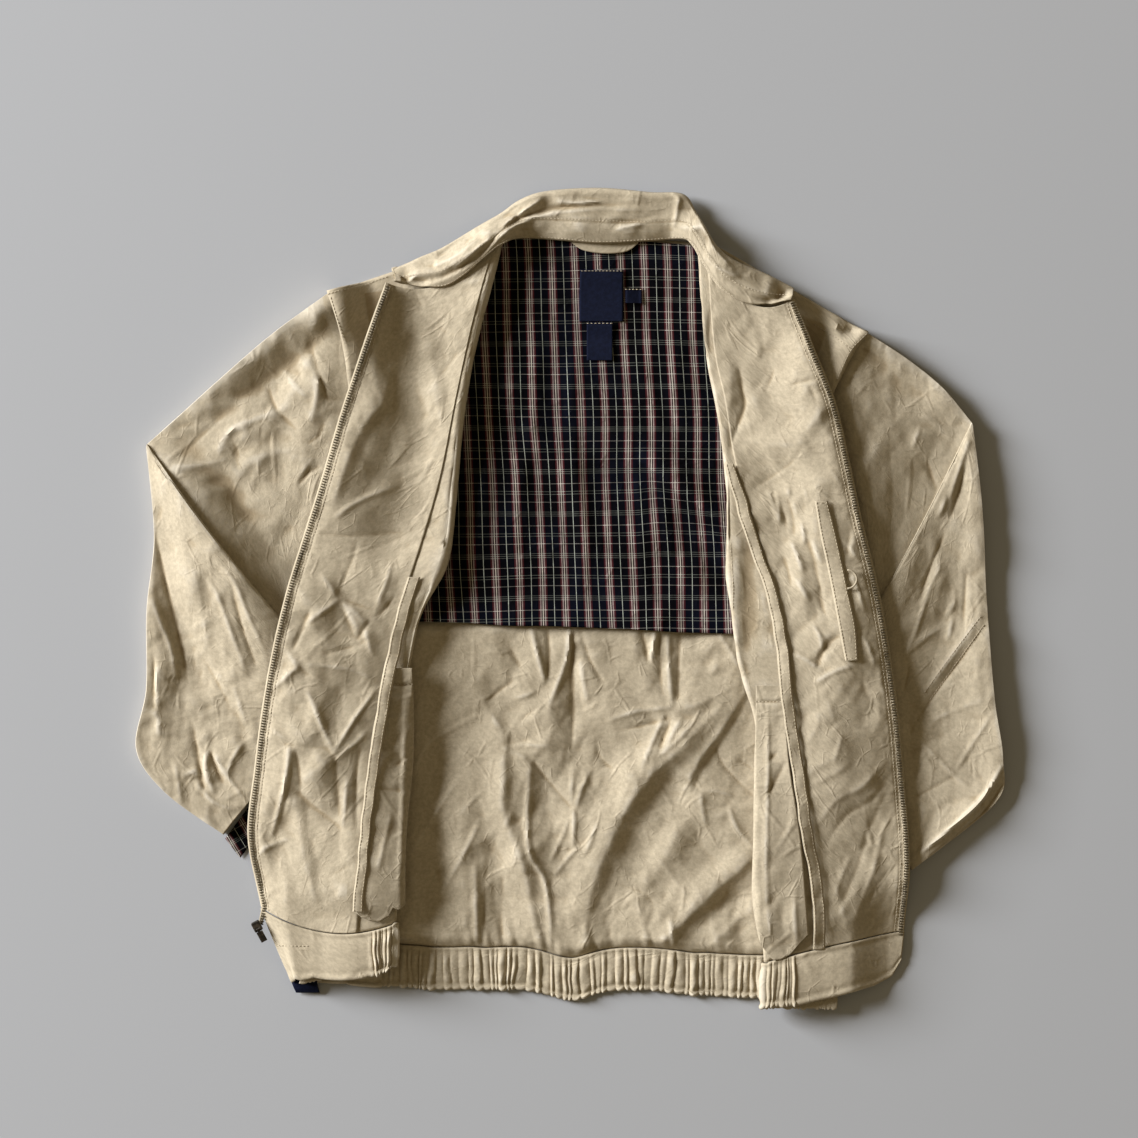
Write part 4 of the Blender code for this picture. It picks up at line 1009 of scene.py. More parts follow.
def net_points(table, layer):
    """The points of a net of flat facets: (their places, their heights, the pairs that a crease joins)."""
    rng = np.random.default_rng(300 + layer)
    places, heights, pairs = [], [], []
    for crease in table:
        if crease.reach >= ROUNDED:
            continue
        run = np.linalg.norm(np.diff(np.array(crease.path, float), axis=0), axis=1).sum()
        count = max(3, int(run / CREASE_STEP) + 1)
        first = len(places)
        places.extend(smooth_rows(crease.path, count))
        along = np.sin(math.pi * np.linspace(0, 1, count)).clip(0) ** 0.5
        heights.extend(CREASE_IN_NET * crease.height * along)
        pairs.extend((first + step, first + step + 1) for step in range(count - 1))
    places = np.array(places)
    low, high = places.min(axis=0) - NET_MARGIN, places.max(axis=0) + NET_MARGIN
    columns, rows = ((high - low) / LOOSE_STEP).astype(int)
    spread = np.stack(np.meshgrid(np.arange(columns), np.arange(rows)), axis=-1).astype(float)
    spread[1::2, :, 0] += 0.5
    spread += rng.uniform(-LOOSE_ASIDE, LOOSE_ASIDE, spread.shape)
    loose = (low + spread * LOOSE_STEP).reshape(-1, 2)
    gap = np.min(np.linalg.norm(loose[:, None] - places[None], axis=2), axis=1)
    loose = loose[gap > CREASE_STEP]
    rough = LOOSE_ROUGH * rng.uniform(-1, 1, len(loose))
    return np.vstack([places, loose]), np.concatenate([heights, rough]), pairs


def fill_triangle(field, corners, heights):
    """Sets the cells of a field that lie in a triangle to its flat slope between three heights."""
    last = len(field) - 1
    c0, r0 = np.maximum(np.floor(corners.min(axis=0)).astype(int), 0)
    c1, r1 = np.minimum(np.ceil(corners.max(axis=0)).astype(int), last)
    side, up = corners[1] - corners[0], corners[2] - corners[0]
    area = side[0] * up[1] - side[1] * up[0]
    if c1 < c0 or r1 < r0 or abs(area) < 1e-6:
        return
    c, r = np.meshgrid(np.arange(c0, c1 + 1) - corners[0, 0], np.arange(r0, r1 + 1) - corners[0, 1])
    second = (c * up[1] - r * up[0]) / area
    third = (side[0] * r - side[1] * c) / area
    inside = (second >= -0.001) & (third >= -0.001) & (second + third <= 1.001)
    value = heights[0] * (1 - second - third) + heights[1] * second + heights[2] * third
    field[r0 : r1 + 1, c0 : c1 + 1][inside] = value[inside]


def net_of(table, layer):
    """The net as a grid of heights: each triangle between its points is flat."""
    places, heights, pairs = net_points(table, layer)
    made = delaunay_2d_cdt([Vector(place) for place in places], pairs, [], 0, 0.001)
    points, faces, sources = np.array([tuple(v) for v in made[0]]), made[2], made[3]
    high = np.array([np.mean(heights[source]) if source else np.nan for source in sources])
    for face in faces:
        for corner in face:
            if np.isnan(high[corner]):
                others = high[[other for other in face if other != corner]]
                high[corner] = np.nanmean(others) if not np.isnan(others).all() else 0.0
    count = int(2 * HALF / NET_CELL)
    field = np.zeros((count, count))
    cells = (points + HALF) / NET_CELL - 0.5
    for face in faces:
        fill_triangle(field, cells[face], high[face])
    return softened(field)


def netted(x, y, table, layer):
    """The height of cloth that is pressed flat between its sharp creases."""
    if layer not in nets:
        nets[layer] = net_of(table, layer)
    return read_grid(nets[layer], x, y)


FROM_WINDOW = (0.8, -0.6)  # the way in which the light runs over the floor


def nearest_on(path, px, py):
    """For each point: its distance from a path, its place along the path, and how much it lies behind it."""
    distance = np.full(px.shape, np.inf)
    place, away = np.zeros(px.shape), np.zeros(px.shape)
    for number, (start, end) in enumerate(zip(path, path[1:])):
        run = end - start
        share = np.clip(((px - start[0]) * run[0] + (py - start[1]) * run[1]) / (run @ run), 0, 1)
        aside_x = px - start[0] - share * run[0]
        aside_y = py - start[1] - share * run[1]
        far = np.hypot(aside_x, aside_y)
        closer = far < distance
        distance = np.where(closer, far, distance)
        place = np.where(closer, number + share, place)
        lit = (FROM_WINDOW[0] * aside_x + FROM_WINDOW[1] * aside_y) / np.maximum(far, 0.001)
        away = np.where(closer, lit, away)
    return distance, place, away


def creased(x, y, table):
    """The height that a table of creases gives each point."""
    height = np.zeros(np.shape(x))
    for crease in table:
        path = smooth_rows(crease.path, 4 * len(crease.path) - 3)
        reach = crease.reach * SPREAD * (1 + abs(crease.lean))
        near = (x > path[:, 0].min() - reach) & (x < path[:, 0].max() + reach)
        near &= (y > path[:, 1].min() - reach) & (y < path[:, 1].max() + reach)
        if not near.any():
            continue
        distance, place, away = nearest_on(path, x[near], y[near])
        fade = np.sin(math.pi * np.clip(place / (len(path) - 1), 0, 1)) ** 0.8
        if crease.reach < ROUNDED:
            out = np.clip(distance / (2.2 + 0.2 * crease.reach), 0, 1)
            crest = 0.42 * (1 - np.hypot(out, 0.05)).clip(0) ** 1.4
        else:
            width = crease.reach * SPREAD * (1 - crease.lean * away) * (0.55 + 0.45 * fade)
            out = np.clip(distance / width, 0, 1)
            crest = 0.6 * (0.5 * (1 - np.hypot(out, 0.03)).clip(0) ** 2 + 0.5 * (1 - out**2) ** 2)
        height[near] += crease.height * crest * fade
    return height


def swollen(x, y, table):
    """Height of a swell that runs up and down a piece."""
    rows = np.array(table, float)[::-1]
    crest, height, left, right = (np.interp(y, rows[:, 0], rows[:, column]) for column in (1, 2, 3, 4))
    out = np.where(x < crest, (crest - x) / left, (x - crest) / right)
    return height * (1 - out.clip(0, 1) ** 2) ** 2


def slack(height):
    """Cloth can't sink into what it lies on: troughs flatten out there, ridges stand."""
    return 0.5 * (height + np.hypot(height, 1.0))


def lengths_along(grid, axis):
    """The distance along the cloth from its first edge, at each point."""
    steps = np.linalg.norm(np.diff(grid, axis=axis), axis=2)
    start = np.zeros((1, grid.shape[1]) if axis == 0 else (grid.shape[0], 1))
    return np.concatenate([start, np.cumsum(steps, axis=axis)], axis=axis)


def along_cloth(grid):
    """Where the pattern of a cloth lies when it follows the cloth both ways."""
    return np.stack([lengths_along(grid, 1), lengths_along(grid, 0)], axis=-1)


RELIEF_BLUR = 9
RELIEF_EDGE = 6  # this near to an edge of its grid, in points, a cloth has no relief


def relief_of(z):
    """How far each point stands above the cloth round it."""
    soft = z
    for _ in range(RELIEF_BLUR):
        soft = softened(soft)
    relief = z - soft
    relief[:RELIEF_EDGE] = relief[-RELIEF_EDGE:] = 0
    relief[:, :RELIEF_EDGE] = relief[:, -RELIEF_EDGE:] = 0
    return relief


SHARP_FROM = 48  # degrees between two faces from which their edge is shaded sharp


def add_cloth(name, grid, thickness, finish, ring=False, lie=None):
    """A sheet of cloth on a grid of points. Its weave follows the cloth, unless `lie` says where it lies."""
    rows, columns = grid.shape[:2]
    numbers = np.arange(rows * columns).reshape(rows, columns)
    after = np.roll(numbers, -1, axis=1) if ring else numbers[:, 1:]
    before = numbers if ring else numbers[:, :-1]
    quads = np.stack([before[:-1], after[:-1], after[1:], before[1:]], axis=-1).reshape(-1, 4)
    across, along = grid[0, 1] - grid[0, 0], grid[1, 0] - grid[0, 0]
    if not ring and np.cross(across, along)[2] < 0:
        quads = quads[:, ::-1]
    mesh = bpy.data.meshes.new(name)
    mesh.from_pydata((grid.reshape(-1, 3) * MM).tolist(), [], quads.tolist())
    mesh.shade_smooth()
    mesh.set_sharp_from_angle(angle=math.radians(SHARP_FROM))
    if lie is None:
        lie = along_cloth(grid)
    corners = np.empty(len(mesh.loops), np.int32)
    mesh.loops.foreach_get("vertex_index", corners)
    mesh.uv_layers.new(name="cloth").uv.foreach_set("vector", (lie.reshape(-1, 2)[corners] * MM).ravel())
    relief = mesh.attributes.new("relief", "FLOAT", "POINT")
    relief.data.foreach_set("value", relief_of(grid[..., 2]).astype(np.float32).ravel())
    made = bpy.data.objects.new(name, mesh)
    bpy.context.scene.collection.objects.link(made)
    mesh.materials.append(finish)
    if ring:
        turn_out(mesh)
    if thickness:
        wall = made.modifiers.new("Wall", "SOLIDIFY")
        wall.thickness = thickness * MM
        wall.offset = -1 if ring else 1
    return made


def turn_out(mesh, fill=False):
    """Turns the faces of a tube outwards, and fills its open ends first if asked."""
    build = bmesh.new()
    build.from_mesh(mesh)
    if fill:
        bmesh.ops.holes_fill(build, edges=[edge for edge in build.edges if edge.is_boundary])
    bmesh.ops.recalc_face_normals(build, faces=build.faces)
    build.to_mesh(mesh)
    build.free()


def sew_on(piece, replaces=(), body="jacket"):
    """Ties a finished piece to its body, and hides the solids that it stands for."""
    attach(piece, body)
    if replaces:
        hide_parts(*replaces)


def lay_cloth(name, grid, thickness, finish, replaces=(), lie=None):
    """A finished piece that carries whatever is laid next."""
    made = add_cloth(name, grid, thickness, finish, lie=lie)
    laid.lay(grid + (0, 0, thickness), 2)
    edges[name] = grid
    sew_on(made, replaces)


# ---------------------------------------------------------------- finishes


class Tree:
    """A node tree that is built by name: each node is added, set and joined up in one call."""

    def __init__(self, tree):
        self.tree = tree

    def join(self, node, inputs):
        """Joins each named input of a node to a socket, or sets its value."""
        for name, value in dict(inputs).items():
            socket = node.inputs[name]
            if isinstance(value, bpy.types.NodeSocket):
                self.tree.links.new(value, socket)
            else:
                socket.default_value = value
        return node

    def add(self, kind, inputs=(), **settings):
        node = self.tree.nodes.new(kind)
        for name, value in settings.items():
            setattr(node, name, value)
        return self.join(node, inputs)

    def group(self, group, **inputs):
        return self.join(self.add("ShaderNodeGroup", node_tree=group), inputs).outputs

    def math(self, operation, first, second=0.0, third=0.0, clamp=False):
        values = {0: first, 1: second, 2: third}
        return self.add("ShaderNodeMath", values, operation=operation, use_clamp=clamp).outputs[0]

    def times(self, vector, scale):
        """A vector or colour times a number."""
        return self.add("ShaderNodeVectorMath", {0: vector, "Scale": scale}, operation="SCALE").outputs[0]

    def mix(self, share, first, second):
        node = self.add("ShaderNodeMix", {0: share, 6: first, 7: second}, data_type="RGBA", blend_type="MIX")
        return node.outputs[2]

    def ramp(self, value, low, high, to_low=0.0, to_high=1.0):
        """`value` from low to high becomes to_low to to_high, and stays within them."""
        inputs = {"Value": value, "From Min": low, "From Max": high, "To Min": to_low, "To Max": to_high}
        return self.add("ShaderNodeMapRange", inputs, interpolation_type="SMOOTHSTEP").outputs[0]

    def noise(self, vector, scale, detail=2.0, roughness=0.5):
        inputs = {"Vector": vector, "Scale": scale, "Detail": detail, "Roughness": roughness}
        return self.add("ShaderNodeTexNoise", inputs).outputs["Fac"]

    def bump(self, height, distance, strength=1.0, **below):
        """The normal that a height gives, `distance` millimetres high."""
        inputs = {"Height": height, "Distance": distance * MM, "Strength": strength, **below}
        return self.add("ShaderNodeBump", inputs).outputs[0]

    def cloth(self):
        """The place along the cloth."""
        return self.add("ShaderNodeUVMap", uv_map="cloth").outputs[0]

    def relief(self):
        """How far the cloth stands above what is round it."""
        return self.add("ShaderNodeAttribute", attribute_name="relief").outputs["Fac"]


def new_group(name, inputs, outputs):
    """An empty shader group with its sockets: (its tree, what it is given, the node of its outputs)."""
    group = bpy.data.node_groups.new(name, "ShaderNodeTree")
    for socket, (kind, value) in inputs.items():
        made = group.interface.new_socket(socket, in_out="INPUT", socket_type="NodeSocket" + kind)
        if value is not None:
            made.default_value = value
    for socket, kind in outputs.items():
        group.interface.new_socket(socket, in_out="OUTPUT", socket_type="NodeSocket" + kind)
    return Tree(group), group.nodes.new("NodeGroupInput").outputs, group.nodes.new("NodeGroupOutput")


def weave_group():
    """Threads of a twill or a plain weave: how high they stand, and which are paler."""
    name = "jacket_weave"
    if name in bpy.data.node_groups:
        return bpy.data.node_groups[name]
    sockets = {"Vector": ("Vector", None), "Thread": ("Float", 0.0006), "Diagonal": ("Float", 1.0)}
    tree, given, out = new_group(name, sockets, {"Height": "Float", "Fleck": "Float"})
    place = tree.add("ShaderNodeSeparateXYZ", {0: given["Vector"]}).outputs
    turns = tree.math("DIVIDE", 2 * math.pi, given["Thread"])
    along = tree.math("MULTIPLY", place["X"], turns)
    across = tree.math("MULTIPLY", place["Y"], turns)
    ribs = tree.math("SINE", tree.math("MULTIPLY_ADD", across, given["Diagonal"], along))
    picks = tree.math("SINE", tree.math("MULTIPLY", across, 2.0))
    fibres = tree.noise(given["Vector"], 900.0, 3.0, 0.65)
    height = tree.math("MULTIPLY_ADD", ribs, 0.35, tree.math("MULTIPLY", picks, 0.12))
    height = tree.math("MULTIPLY_ADD", fibres, 1.1, height)
    tree.join(out, {"Height": height, "Fleck": tree.noise(given["Vector"], 260.0, 4.0, 0.7)})
    return tree.tree


# The cells between press lines: how many times finer than the spacing, and how strong their lines are
PRESS_SIZES = ((0.55, 1.3), (1.0, 0.95), (2.1, 0.5))


def press_group():
    """Small creases and press lines that washing leaves in cotton."""
    name = "jacket_press_lines"
    if name in bpy.data.node_groups:
        return bpy.data.node_groups[name]
    sockets = {"Vector": ("Vector", None), "Spacing": ("Float", 0.03), "Seed": ("Float", 0.0)}
    tree, given, out = new_group(name, sockets, {"Height": "Float"})
    shift = tree.math("MULTIPLY", given["Seed"], 0.37)
    spot = tree.add("ShaderNodeVectorMath", {0: given["Vector"], 1: shift}, operation="ADD").outputs[0]
    wander = tree.add("ShaderNodeTexNoise", {"Vector": spot, "Scale": 22.0, "Detail": 2.0})
    nudge = tree.times(wander.outputs["Color"], 0.0028)
    bent = tree.add("ShaderNodeVectorMath", {0: spot, 1: nudge}, operation="ADD").outputs[0]
    often = tree.math("DIVIDE", 1.0, given["Spacing"])
    total = None
    for times, weight in PRESS_SIZES:
        scale = tree.math("MULTIPLY", often, times)
        inputs = {"Vector": bent, "Scale": scale}
        cells = tree.add("ShaderNodeTexVoronoi", inputs, feature="DISTANCE_TO_EDGE")
        line = tree.ramp(cells.outputs["Distance"], 0.0, 0.075, 1.0, 0.0)
        patch = tree.ramp(tree.noise(bent, 30.0 * times, 1.0), 0.5, 0.64)
        part = tree.math("MULTIPLY", tree.math("MULTIPLY", line, patch), weight)
        total = part if total is None else tree.math("ADD", total, part)
    soft = tree.noise(bent, 75.0, 3.0, 0.55)
    tree.join(out, {"Height": tree.math("MULTIPLY_ADD", soft, 1.3, total)})
    return tree.tree


RUBBED = (0.80, 0.76, 0.68, 1.0)  # the colour that washed cloth goes towards on its ridges


def tone_group():
    """Washed cloth: cloudy and paler where ridges rub, with shade painted darker into the hollows."""
    name = "jacket_tone_wear_and_painted_shade"
    if name in bpy.data.node_groups:
        return bpy.data.node_groups[name]
    sockets = {
        "Vector": ("Vector", None),
        "Color": ("Color", (0.5, 0.4, 0.3, 1.0)),
        # the darker colour painted into the hollows as shade
        "PaintedShade": ("Color", (0.3, 0.2, 0.1, 1.0)),
        "Relief": ("Float", 0.0),
        "Fleck": ("Float", 0.5),
        # how strong both the rubbed wear on the ridges and the painted shade in the hollows are
        "Wear": ("Float", 1.0),
    }
    tree, given, out = new_group(name, sockets, {"Color": "Color"})
    cloudy = tree.ramp(tree.noise(given["Vector"], 16.0, 4.0, 0.6), 0.35, 0.7, 0.96, 1.04)
    flecks = tree.ramp(given["Fleck"], 0.3, 0.7, 0.87, 1.13)
    base = tree.times(given["Color"], tree.math("MULTIPLY", cloudy, flecks))
    # painted shade: in the hollows the colour goes towards the darker painted-shade colour, where real shade
    # falls
    low = tree.ramp(given["Relief"], -0.1, -1.1)
    low = tree.math("MULTIPLY", low, tree.math("MULTIPLY", given["Wear"], 0.5), clamp=True)
    # paler on the ridges, as rubbed wear
    high = tree.ramp(given["Relief"], 0.1, 1.2, 0.0, 0.30)
    high = tree.math("MULTIPLY", high, given["Wear"], clamp=True)
    tree.join(out, {"Color": tree.mix(high, tree.mix(low, base, given["PaintedShade"]), RUBBED)})
    return tree.tree


def new_material(name):
    """(the material, its tree, its shader): with nothing but a Principled BSDF and its output."""
    made = bpy.data.materials.new(name)
    made.use_nodes = True
    return made, Tree(made.node_tree), made.node_tree.nodes["Principled BSDF"]


def cotton(name, color, deep, thread=0.0006, diagonal=1.0, press=0.03, press_depth=0.3, seed=0.0):
    """A washed cotton: its weave, its press lines and its tone, all along the cloth, with shade painted into
    its hollows in the colour `deep`.
    """
    if name in bpy.data.materials:
        return bpy.data.materials[name]
    made, tree, shader = new_material(name)
    along, relief = tree.cloth(), tree.relief()
    weave = tree.group(weave_group(), Vector=along, Thread=thread, Diagonal=diagonal)
    lines = tree.group(press_group(), Vector=along, Spacing=press, Seed=seed)
    # `deep` is the colour of the shade painted into the hollows
    washed = {"Vector": along, "Color": color, "PaintedShade": deep, "Relief": relief, "Fleck": weave["Fleck"]}
    tone = tree.group(tone_group(), **washed, Wear=1.0)
    coarse = tree.bump(lines["Height"], press_depth)
    finish = {
        "Base Color": tone["Color"],
        "Normal": tree.bump(weave["Height"], 0.06, 0.8, Normal=coarse),
        "Roughness": tree.ramp(weave["Fleck"], 0.3, 0.7, 0.82, 0.93),
        "Sheen Weight": 0.03,
        "Sheen Roughness": 0.5,
        "Specular IOR Level": 0.12,
    }
    tree.join(shader, finish)
    return made


def twill():
    colors = bpy.context.scene.jacket_colors
    return cotton("khaki_twill", (*colors.twill, 1), (*colors.twill_painted_shade, 1))


def pocketing():
    colors = bpy.context.scene.jacket_colors
    # the painted shade of the twill, for the hollows of the pocketing
    deep = (*colors.twill_painted_shade, 1)
    return cotton("khaki_pocketing", (*colors.pocketing, 1), deep, 0.0004, 0.0, 0.022, 0.35, 5.0)


def thread_finish():
    """Sewing thread in the colour of the cloth, a shade paler."""
    name = "khaki_thread"
    if name in bpy.data.materials:
        return bpy.data.materials[name]
    made, tree, shader = new_material(name)
    place = tree.add("ShaderNodeTexCoord").outputs["Object"]
    color = bpy.context.scene.jacket_colors.twill
    pale = tuple(min(1.0, 1.15 * part) for part in color)
    twist = tree.mix(tree.noise(place, 1500.0, 2.0), (*color, 1), (*pale, 1))
    tree.join(shader, {"Base Color": twist, "Roughness": 0.7})
    return made


def from_repeat(tree, along, repeat):
    """How far a place is from the middle of its repeat of the pattern, in repeats."""
    turns = tree.math("DIVIDE", along, repeat * MM)
    return tree.math("SUBTRACT", turns, tree.math("ROUND", turns))


def stripes_over(tree, color, along, repeat, table, colors, gain=1.0):
    """Lays a table of stripes over a colour at each repeat, each as strong as its cover times `gain`."""
    within = tree.math("MULTIPLY", from_repeat(tree, along, repeat), repeat)
    for stripe in table:
        off = tree.math("ABSOLUTE", tree.math("SUBTRACT", within, stripe.place))
        mask = tree.ramp(off, stripe.half - STRIPE_EDGE, stripe.half + STRIPE_EDGE, stripe.cover, 0.0)
        mask = tree.math("MULTIPLY", mask, gain, clamp=True)
        color = tree.mix(mask, color, (*getattr(colors, stripe.color), 1))
    return color


def plaid():
    """Yarn-dyed plaid: stripes of the warp, then stripes of the weft, on near-black navy."""
    name = "navy_plaid"
    if name in bpy.data.materials:
        return bpy.data.materials[name]
    colors = bpy.context.scene.jacket_colors
    made, tree, shader = new_material(name)
    along, relief = tree.cloth(), tree.relief()
    place = tree.add("ShaderNodeSeparateXYZ", {0: along}).outputs
    weave = tree.group(weave_group(), Vector=along, Thread=0.0005, Diagonal=0.0)
    lines = tree.group(press_group(), Vector=along, Spacing=0.034, Seed=9.0)
    warm = tree.ramp(tree.noise(along, 14.0, 2.0), 0.4, 0.65)
    color = tree.mix(warm, (*colors.plaid_ground, 1), (*colors.plaid_ground_blue, 1))
    color = stripes_over(tree, color, place["X"], PLAID_REPEAT, WARP_STRIPES, colors)
    from_band = tree.math("ABSOLUTE", from_repeat(tree, place["X"], PLAID_REPEAT))
    on_band = tree.ramp(from_band, 0.16, 0.19, 2.0, 0.6)
    color = stripes_over(tree, color, place["Y"], PLAID_RISE, WEFT_STRIPES, colors, on_band)
    worn = tree.ramp(weave["Fleck"], 0.3, 0.75, 0.82, 1.15)
    # painted shade: the plaid is darkened in the hollows of the cloth, where real shade falls
    shade = tree.ramp(relief, -0.5, 0.3, 0.72, 1.0)
    coarse = tree.bump(lines["Height"], 0.3)
    finish = {
        "Base Color": tree.times(color, tree.math("MULTIPLY", worn, shade)),
        "Normal": tree.bump(weave["Height"], 0.05, 0.6, Normal=coarse),
        "Roughness": 0.92,
        "Specular IOR Level": 0.03,
    }
    tree.join(shader, finish)
    return made


def navy_label():
    """A woven label, bare, with the fine ribs of its weave."""
    name = "navy_woven_label"
    if name in bpy.data.materials:
        return bpy.data.materials[name]
    made, tree, shader = new_material(name)
    weave = tree.group(weave_group(), Vector=tree.cloth(), Thread=0.0004, Diagonal=0.0)
    navy = bpy.context.scene.jacket_colors.navy_label
    pale = tuple(1.7 * part for part in navy)
    finish = {
        "Base Color": tree.mix(tree.ramp(weave["Fleck"], 0.35, 0.7), (*navy, 1), (*pale, 1)),
        "Normal": tree.bump(weave["Height"], 0.08),
        "Roughness": 0.75,
        "Specular IOR Level": 0.08,
    }
    tree.join(shader, finish)
    return made


def worn_metal(name, color, worn_color, roughness):
    """Metal whose plating has rubbed through in patches."""
    if name in bpy.data.materials:
        return bpy.data.materials[name]
    made, tree, shader = new_material(name)
    place = tree.add("ShaderNodeTexCoord").outputs["Object"]
    patches = tree.ramp(tree.noise(place, 260.0, 4.0, 0.6), 0.42, 0.62)
    scratches = tree.noise(place, 1400.0, 3.0, 0.6)
    finish = {
        "Base Color": tree.mix(patches, (*color, 1), (*worn_color, 1)),
        "Roughness": tree.ramp(scratches, 0.3, 0.7, roughness - 0.08, roughness + 0.12),
        "Normal": tree.bump(scratches, 0.03, 0.5),
        "Metallic": 0.9,
    }
    tree.join(shader, finish)
    return made


def antique_brass():
    return worn_metal("antique_brass", bpy.context.scene.jacket_colors.brass, (0.30, 0.26, 0.18), 0.42)


def gunmetal():
    return worn_metal("gunmetal", bpy.context.scene.jacket_colors.gunmetal, (0.12, 0.10, 0.08), 0.38)


# ---------------------------------------------------------------- pieces


def shoulder_shape(u):
    """How far the neck stands above the chord between the shoulder tips: 0 at the tips, 1 along the neck."""
    return np.clip(u / 0.35, 0, 1) * np.clip((1 - u) / 0.33, 0, 1)


def back_points(rows, u):
    """The places of the back at a share `u` of the way from its left edge to its right edge in a table."""
    x = between(rows[:, [0]], rows[:, [2]], u)
    y = between(rows[:, [1]], rows[:, [3]], u) + rows[:, [4]] * shoulder_shape(u)
    return x, y


# Waves of the seam of the back waistband: where, how wide, and how far up
HemWave = namedtuple("HemWave", "x width rise")
HEM_WAVES = [HemWave(2, 25, -8.0), HemWave(70, 40, 3.0), HemWave(-130, 60, -2.5)]


def hem_sag(x, y, hem):
    """The seam of the waistband isn't straight: it sags in the middle and waves a little."""
    near = np.exp(-np.maximum(0, y - hem) / 30)
    wave = sum(row.rise * bell(x, row.x, row.width) for row in HEM_WAVES)
    return near * (wave + 0.9 * lumps(x, 0 * x, 16, 4))


BACK_SHOWN_ROWS = 170  # from the waist seam up to the lining, where they lie close together
BACK_HIDDEN_ROWS = 10
BACK_SHOWN_COLUMNS = 206
BACK_HIDDEN_COLUMNS = 9  # at each side, under the fronts
BACK_SHOWS_BELOW = -8  # above this line the back panel lies flat under the lining
GATHER_RISE = 1.6  # height of the gathers of the back at its waist seam
RIGHT_FOLD_LINE = ([-330, -150, -20], [-152, -146, -138])  # y and x of the right front's folded edge


def add_back(sizes):
    """The back panel lies on the floor and shows between the fronts, below the lining."""
    rows = np.concatenate([np.linspace(0, 2.5, BACK_SHOWN_ROWS), np.linspace(2.7, 5, BACK_HIDDEN_ROWS)])
    first = np.linspace(0, 0.15, BACK_HIDDEN_COLUMNS)[:-1]
    last = np.linspace(0.87, 1, BACK_HIDDEN_COLUMNS)[1:]
    u = np.concatenate([first, np.linspace(0.15, 0.87, BACK_SHOWN_COLUMNS), last])
    x, y = back_points(straight_rows(BACK, rows), u)
    y = y + hem_sag(x, y, y[0])
    shows = eased((BACK_SHOWS_BELOW - y) / 24)
    loose = creased(x, y, BACK_FORM + BACK_CREASES) + netted(x, y, BACK_CREASES, 1)
    loose = loose + sizes.slack * crumple(x, y, 1)
    gathers = GATHER_RISE * np.exp(-(y - y[0]) / 16) * (1 + lumps(x + 0.25 * y, 0 * y, 5.5, 6))
    gathers = gathers * eased((y - y[0]) / 3)
    to_fold = np.interp(y, *RIGHT_FOLD_LINE) + 2
    rise = 6.0 * eased(1 - (x - to_fold) / 34) ** 1.5 * (x > to_fold - 30)
    height = slack(4.2 + loose) * shows + rise * shows
    sewn = eased((y - y[0]) / 9)
    grid = spots(x, y, height * (0.12 + 0.88 * sewn) + gathers)
    lay_cloth("back_panel", grid, sizes.twill, twill(), ["back_shell"])


def pleats(count, steps, layer):
    """Gathers along a band, `steps` points to each: the places, their heights and how far the hem dips."""
    rng = np.random.default_rng(layer)
    widths = rng.uniform(0.5, 1.5, count)
    starts = np.concatenate([[0], np.cumsum(widths)]) / widths.sum() * count
    place = np.linspace(0, count, count * steps + 1)
    number = np.clip(np.searchsorted(starts, place, side="right") - 1, 0, count - 1)
    share = (place - starts[number]) / (starts[number + 1] - starts[number])
    tall = (rng.uniform(0.25, 1.25, count) * widths**0.4)[number]
    lean = rng.uniform(0.3, 0.7, count)[number]
    bent = np.where(share < lean, 0.5 * share / lean, 0.5 + 0.5 * (share - lean) / (1 - lean))
    return place / count, tall * np.sin(math.pi * bent) ** 0.75, tall * np.sin(math.pi * bent)


BAND_ROWS = 44
BAND_UPPER_ROWS = 28  # of these, the rows on the side that shows
BAND_CLOTH = -0.7  # the cloth of a waistband in shares of the twill, laid inwards


def band_grid(points, drops, heights, normals, raised, dips, pleat_depth):
    """A waistband's cloth from its seam down the outside, round the fold and up the inside."""
    x, level = points[:, 0], 0 * dips
    rows = []
    for down, out, pleated in smooth_rows(BAND_SECTION, BAND_ROWS):
        pleated = max(0.0, pleated) * (1 + 0.45 * lumps(x, level + 46 * down, 9, 22))
        slant = 4.2 * lumps(x, level, 17, 21) + 2.2 * lumps(x, level + 30 * down, 11, 23)
        slant = slant * (raised > 0)
        dip = 1.6 * (dips - 0.5) * (down > 0.5)
        fall = np.stack([drops * down + slant * down, -(heights + dip) * down], axis=-1)
        lift = out * BAND + pleated * pleat_depth * raised
        plan = points[:, :2] + fall + normals[:, :2] * lift[:, None]
        rows.append(np.column_stack([plan, points[:, 2] + normals[:, 2] * lift]))
    return np.array(rows)


def add_back_band(sizes):
    """The back waistband is elastic: its cloth stands in gathers all along."""
    back = edges["back_panel"]
    share, raised, dips = pleats(BACK_PLEATS, 9, 3)
    edge = straight_rows(back[0], share * (len(back[0]) - 1))
    ones = np.ones(len(edge))
    points = np.column_stack([edge[:, 0], edge[:, 1] - SEAM, 0.35 * ones + 0.1])
    normals = np.column_stack([0 * ones, 0 * ones, ones])
    grid = band_grid(points, 0 * ones, (BAND_HEIGHT - 1) * ones, normals, raised, dips, sizes.pleat_depth)
    grid[..., 2] += 0.5 * lumps(grid[..., 0], grid[..., 1], 9, 8) * (grid[..., 2] > 1.5)
    made = add_cloth("back_waistband", grid, BAND_CLOTH * sizes.twill, twill())
    laid.lay(grid[:BAND_UPPER_ROWS], 1)
    sew_on(made, ["waistband_back"])


def strip_plan(table, rows, columns):
    """The places of a flat piece between the left and right edges of a table."""
    edge = smooth_rows(table, rows)
    u = np.linspace(0, 1, columns)
    return between(edge[:, [1]], edge[:, [2]], u), np.repeat(edge[:, [0]], columns, axis=1)


def ribbon_plan(table, rows, columns):
    """The places of a flat piece between the two long edges of a table."""
    edge = smooth_rows(table, rows)
    u = np.linspace(0, 1, columns)
    return between(edge[:, [0]], edge[:, [2]], u), between(edge[:, [1]], edge[:, [3]], u)


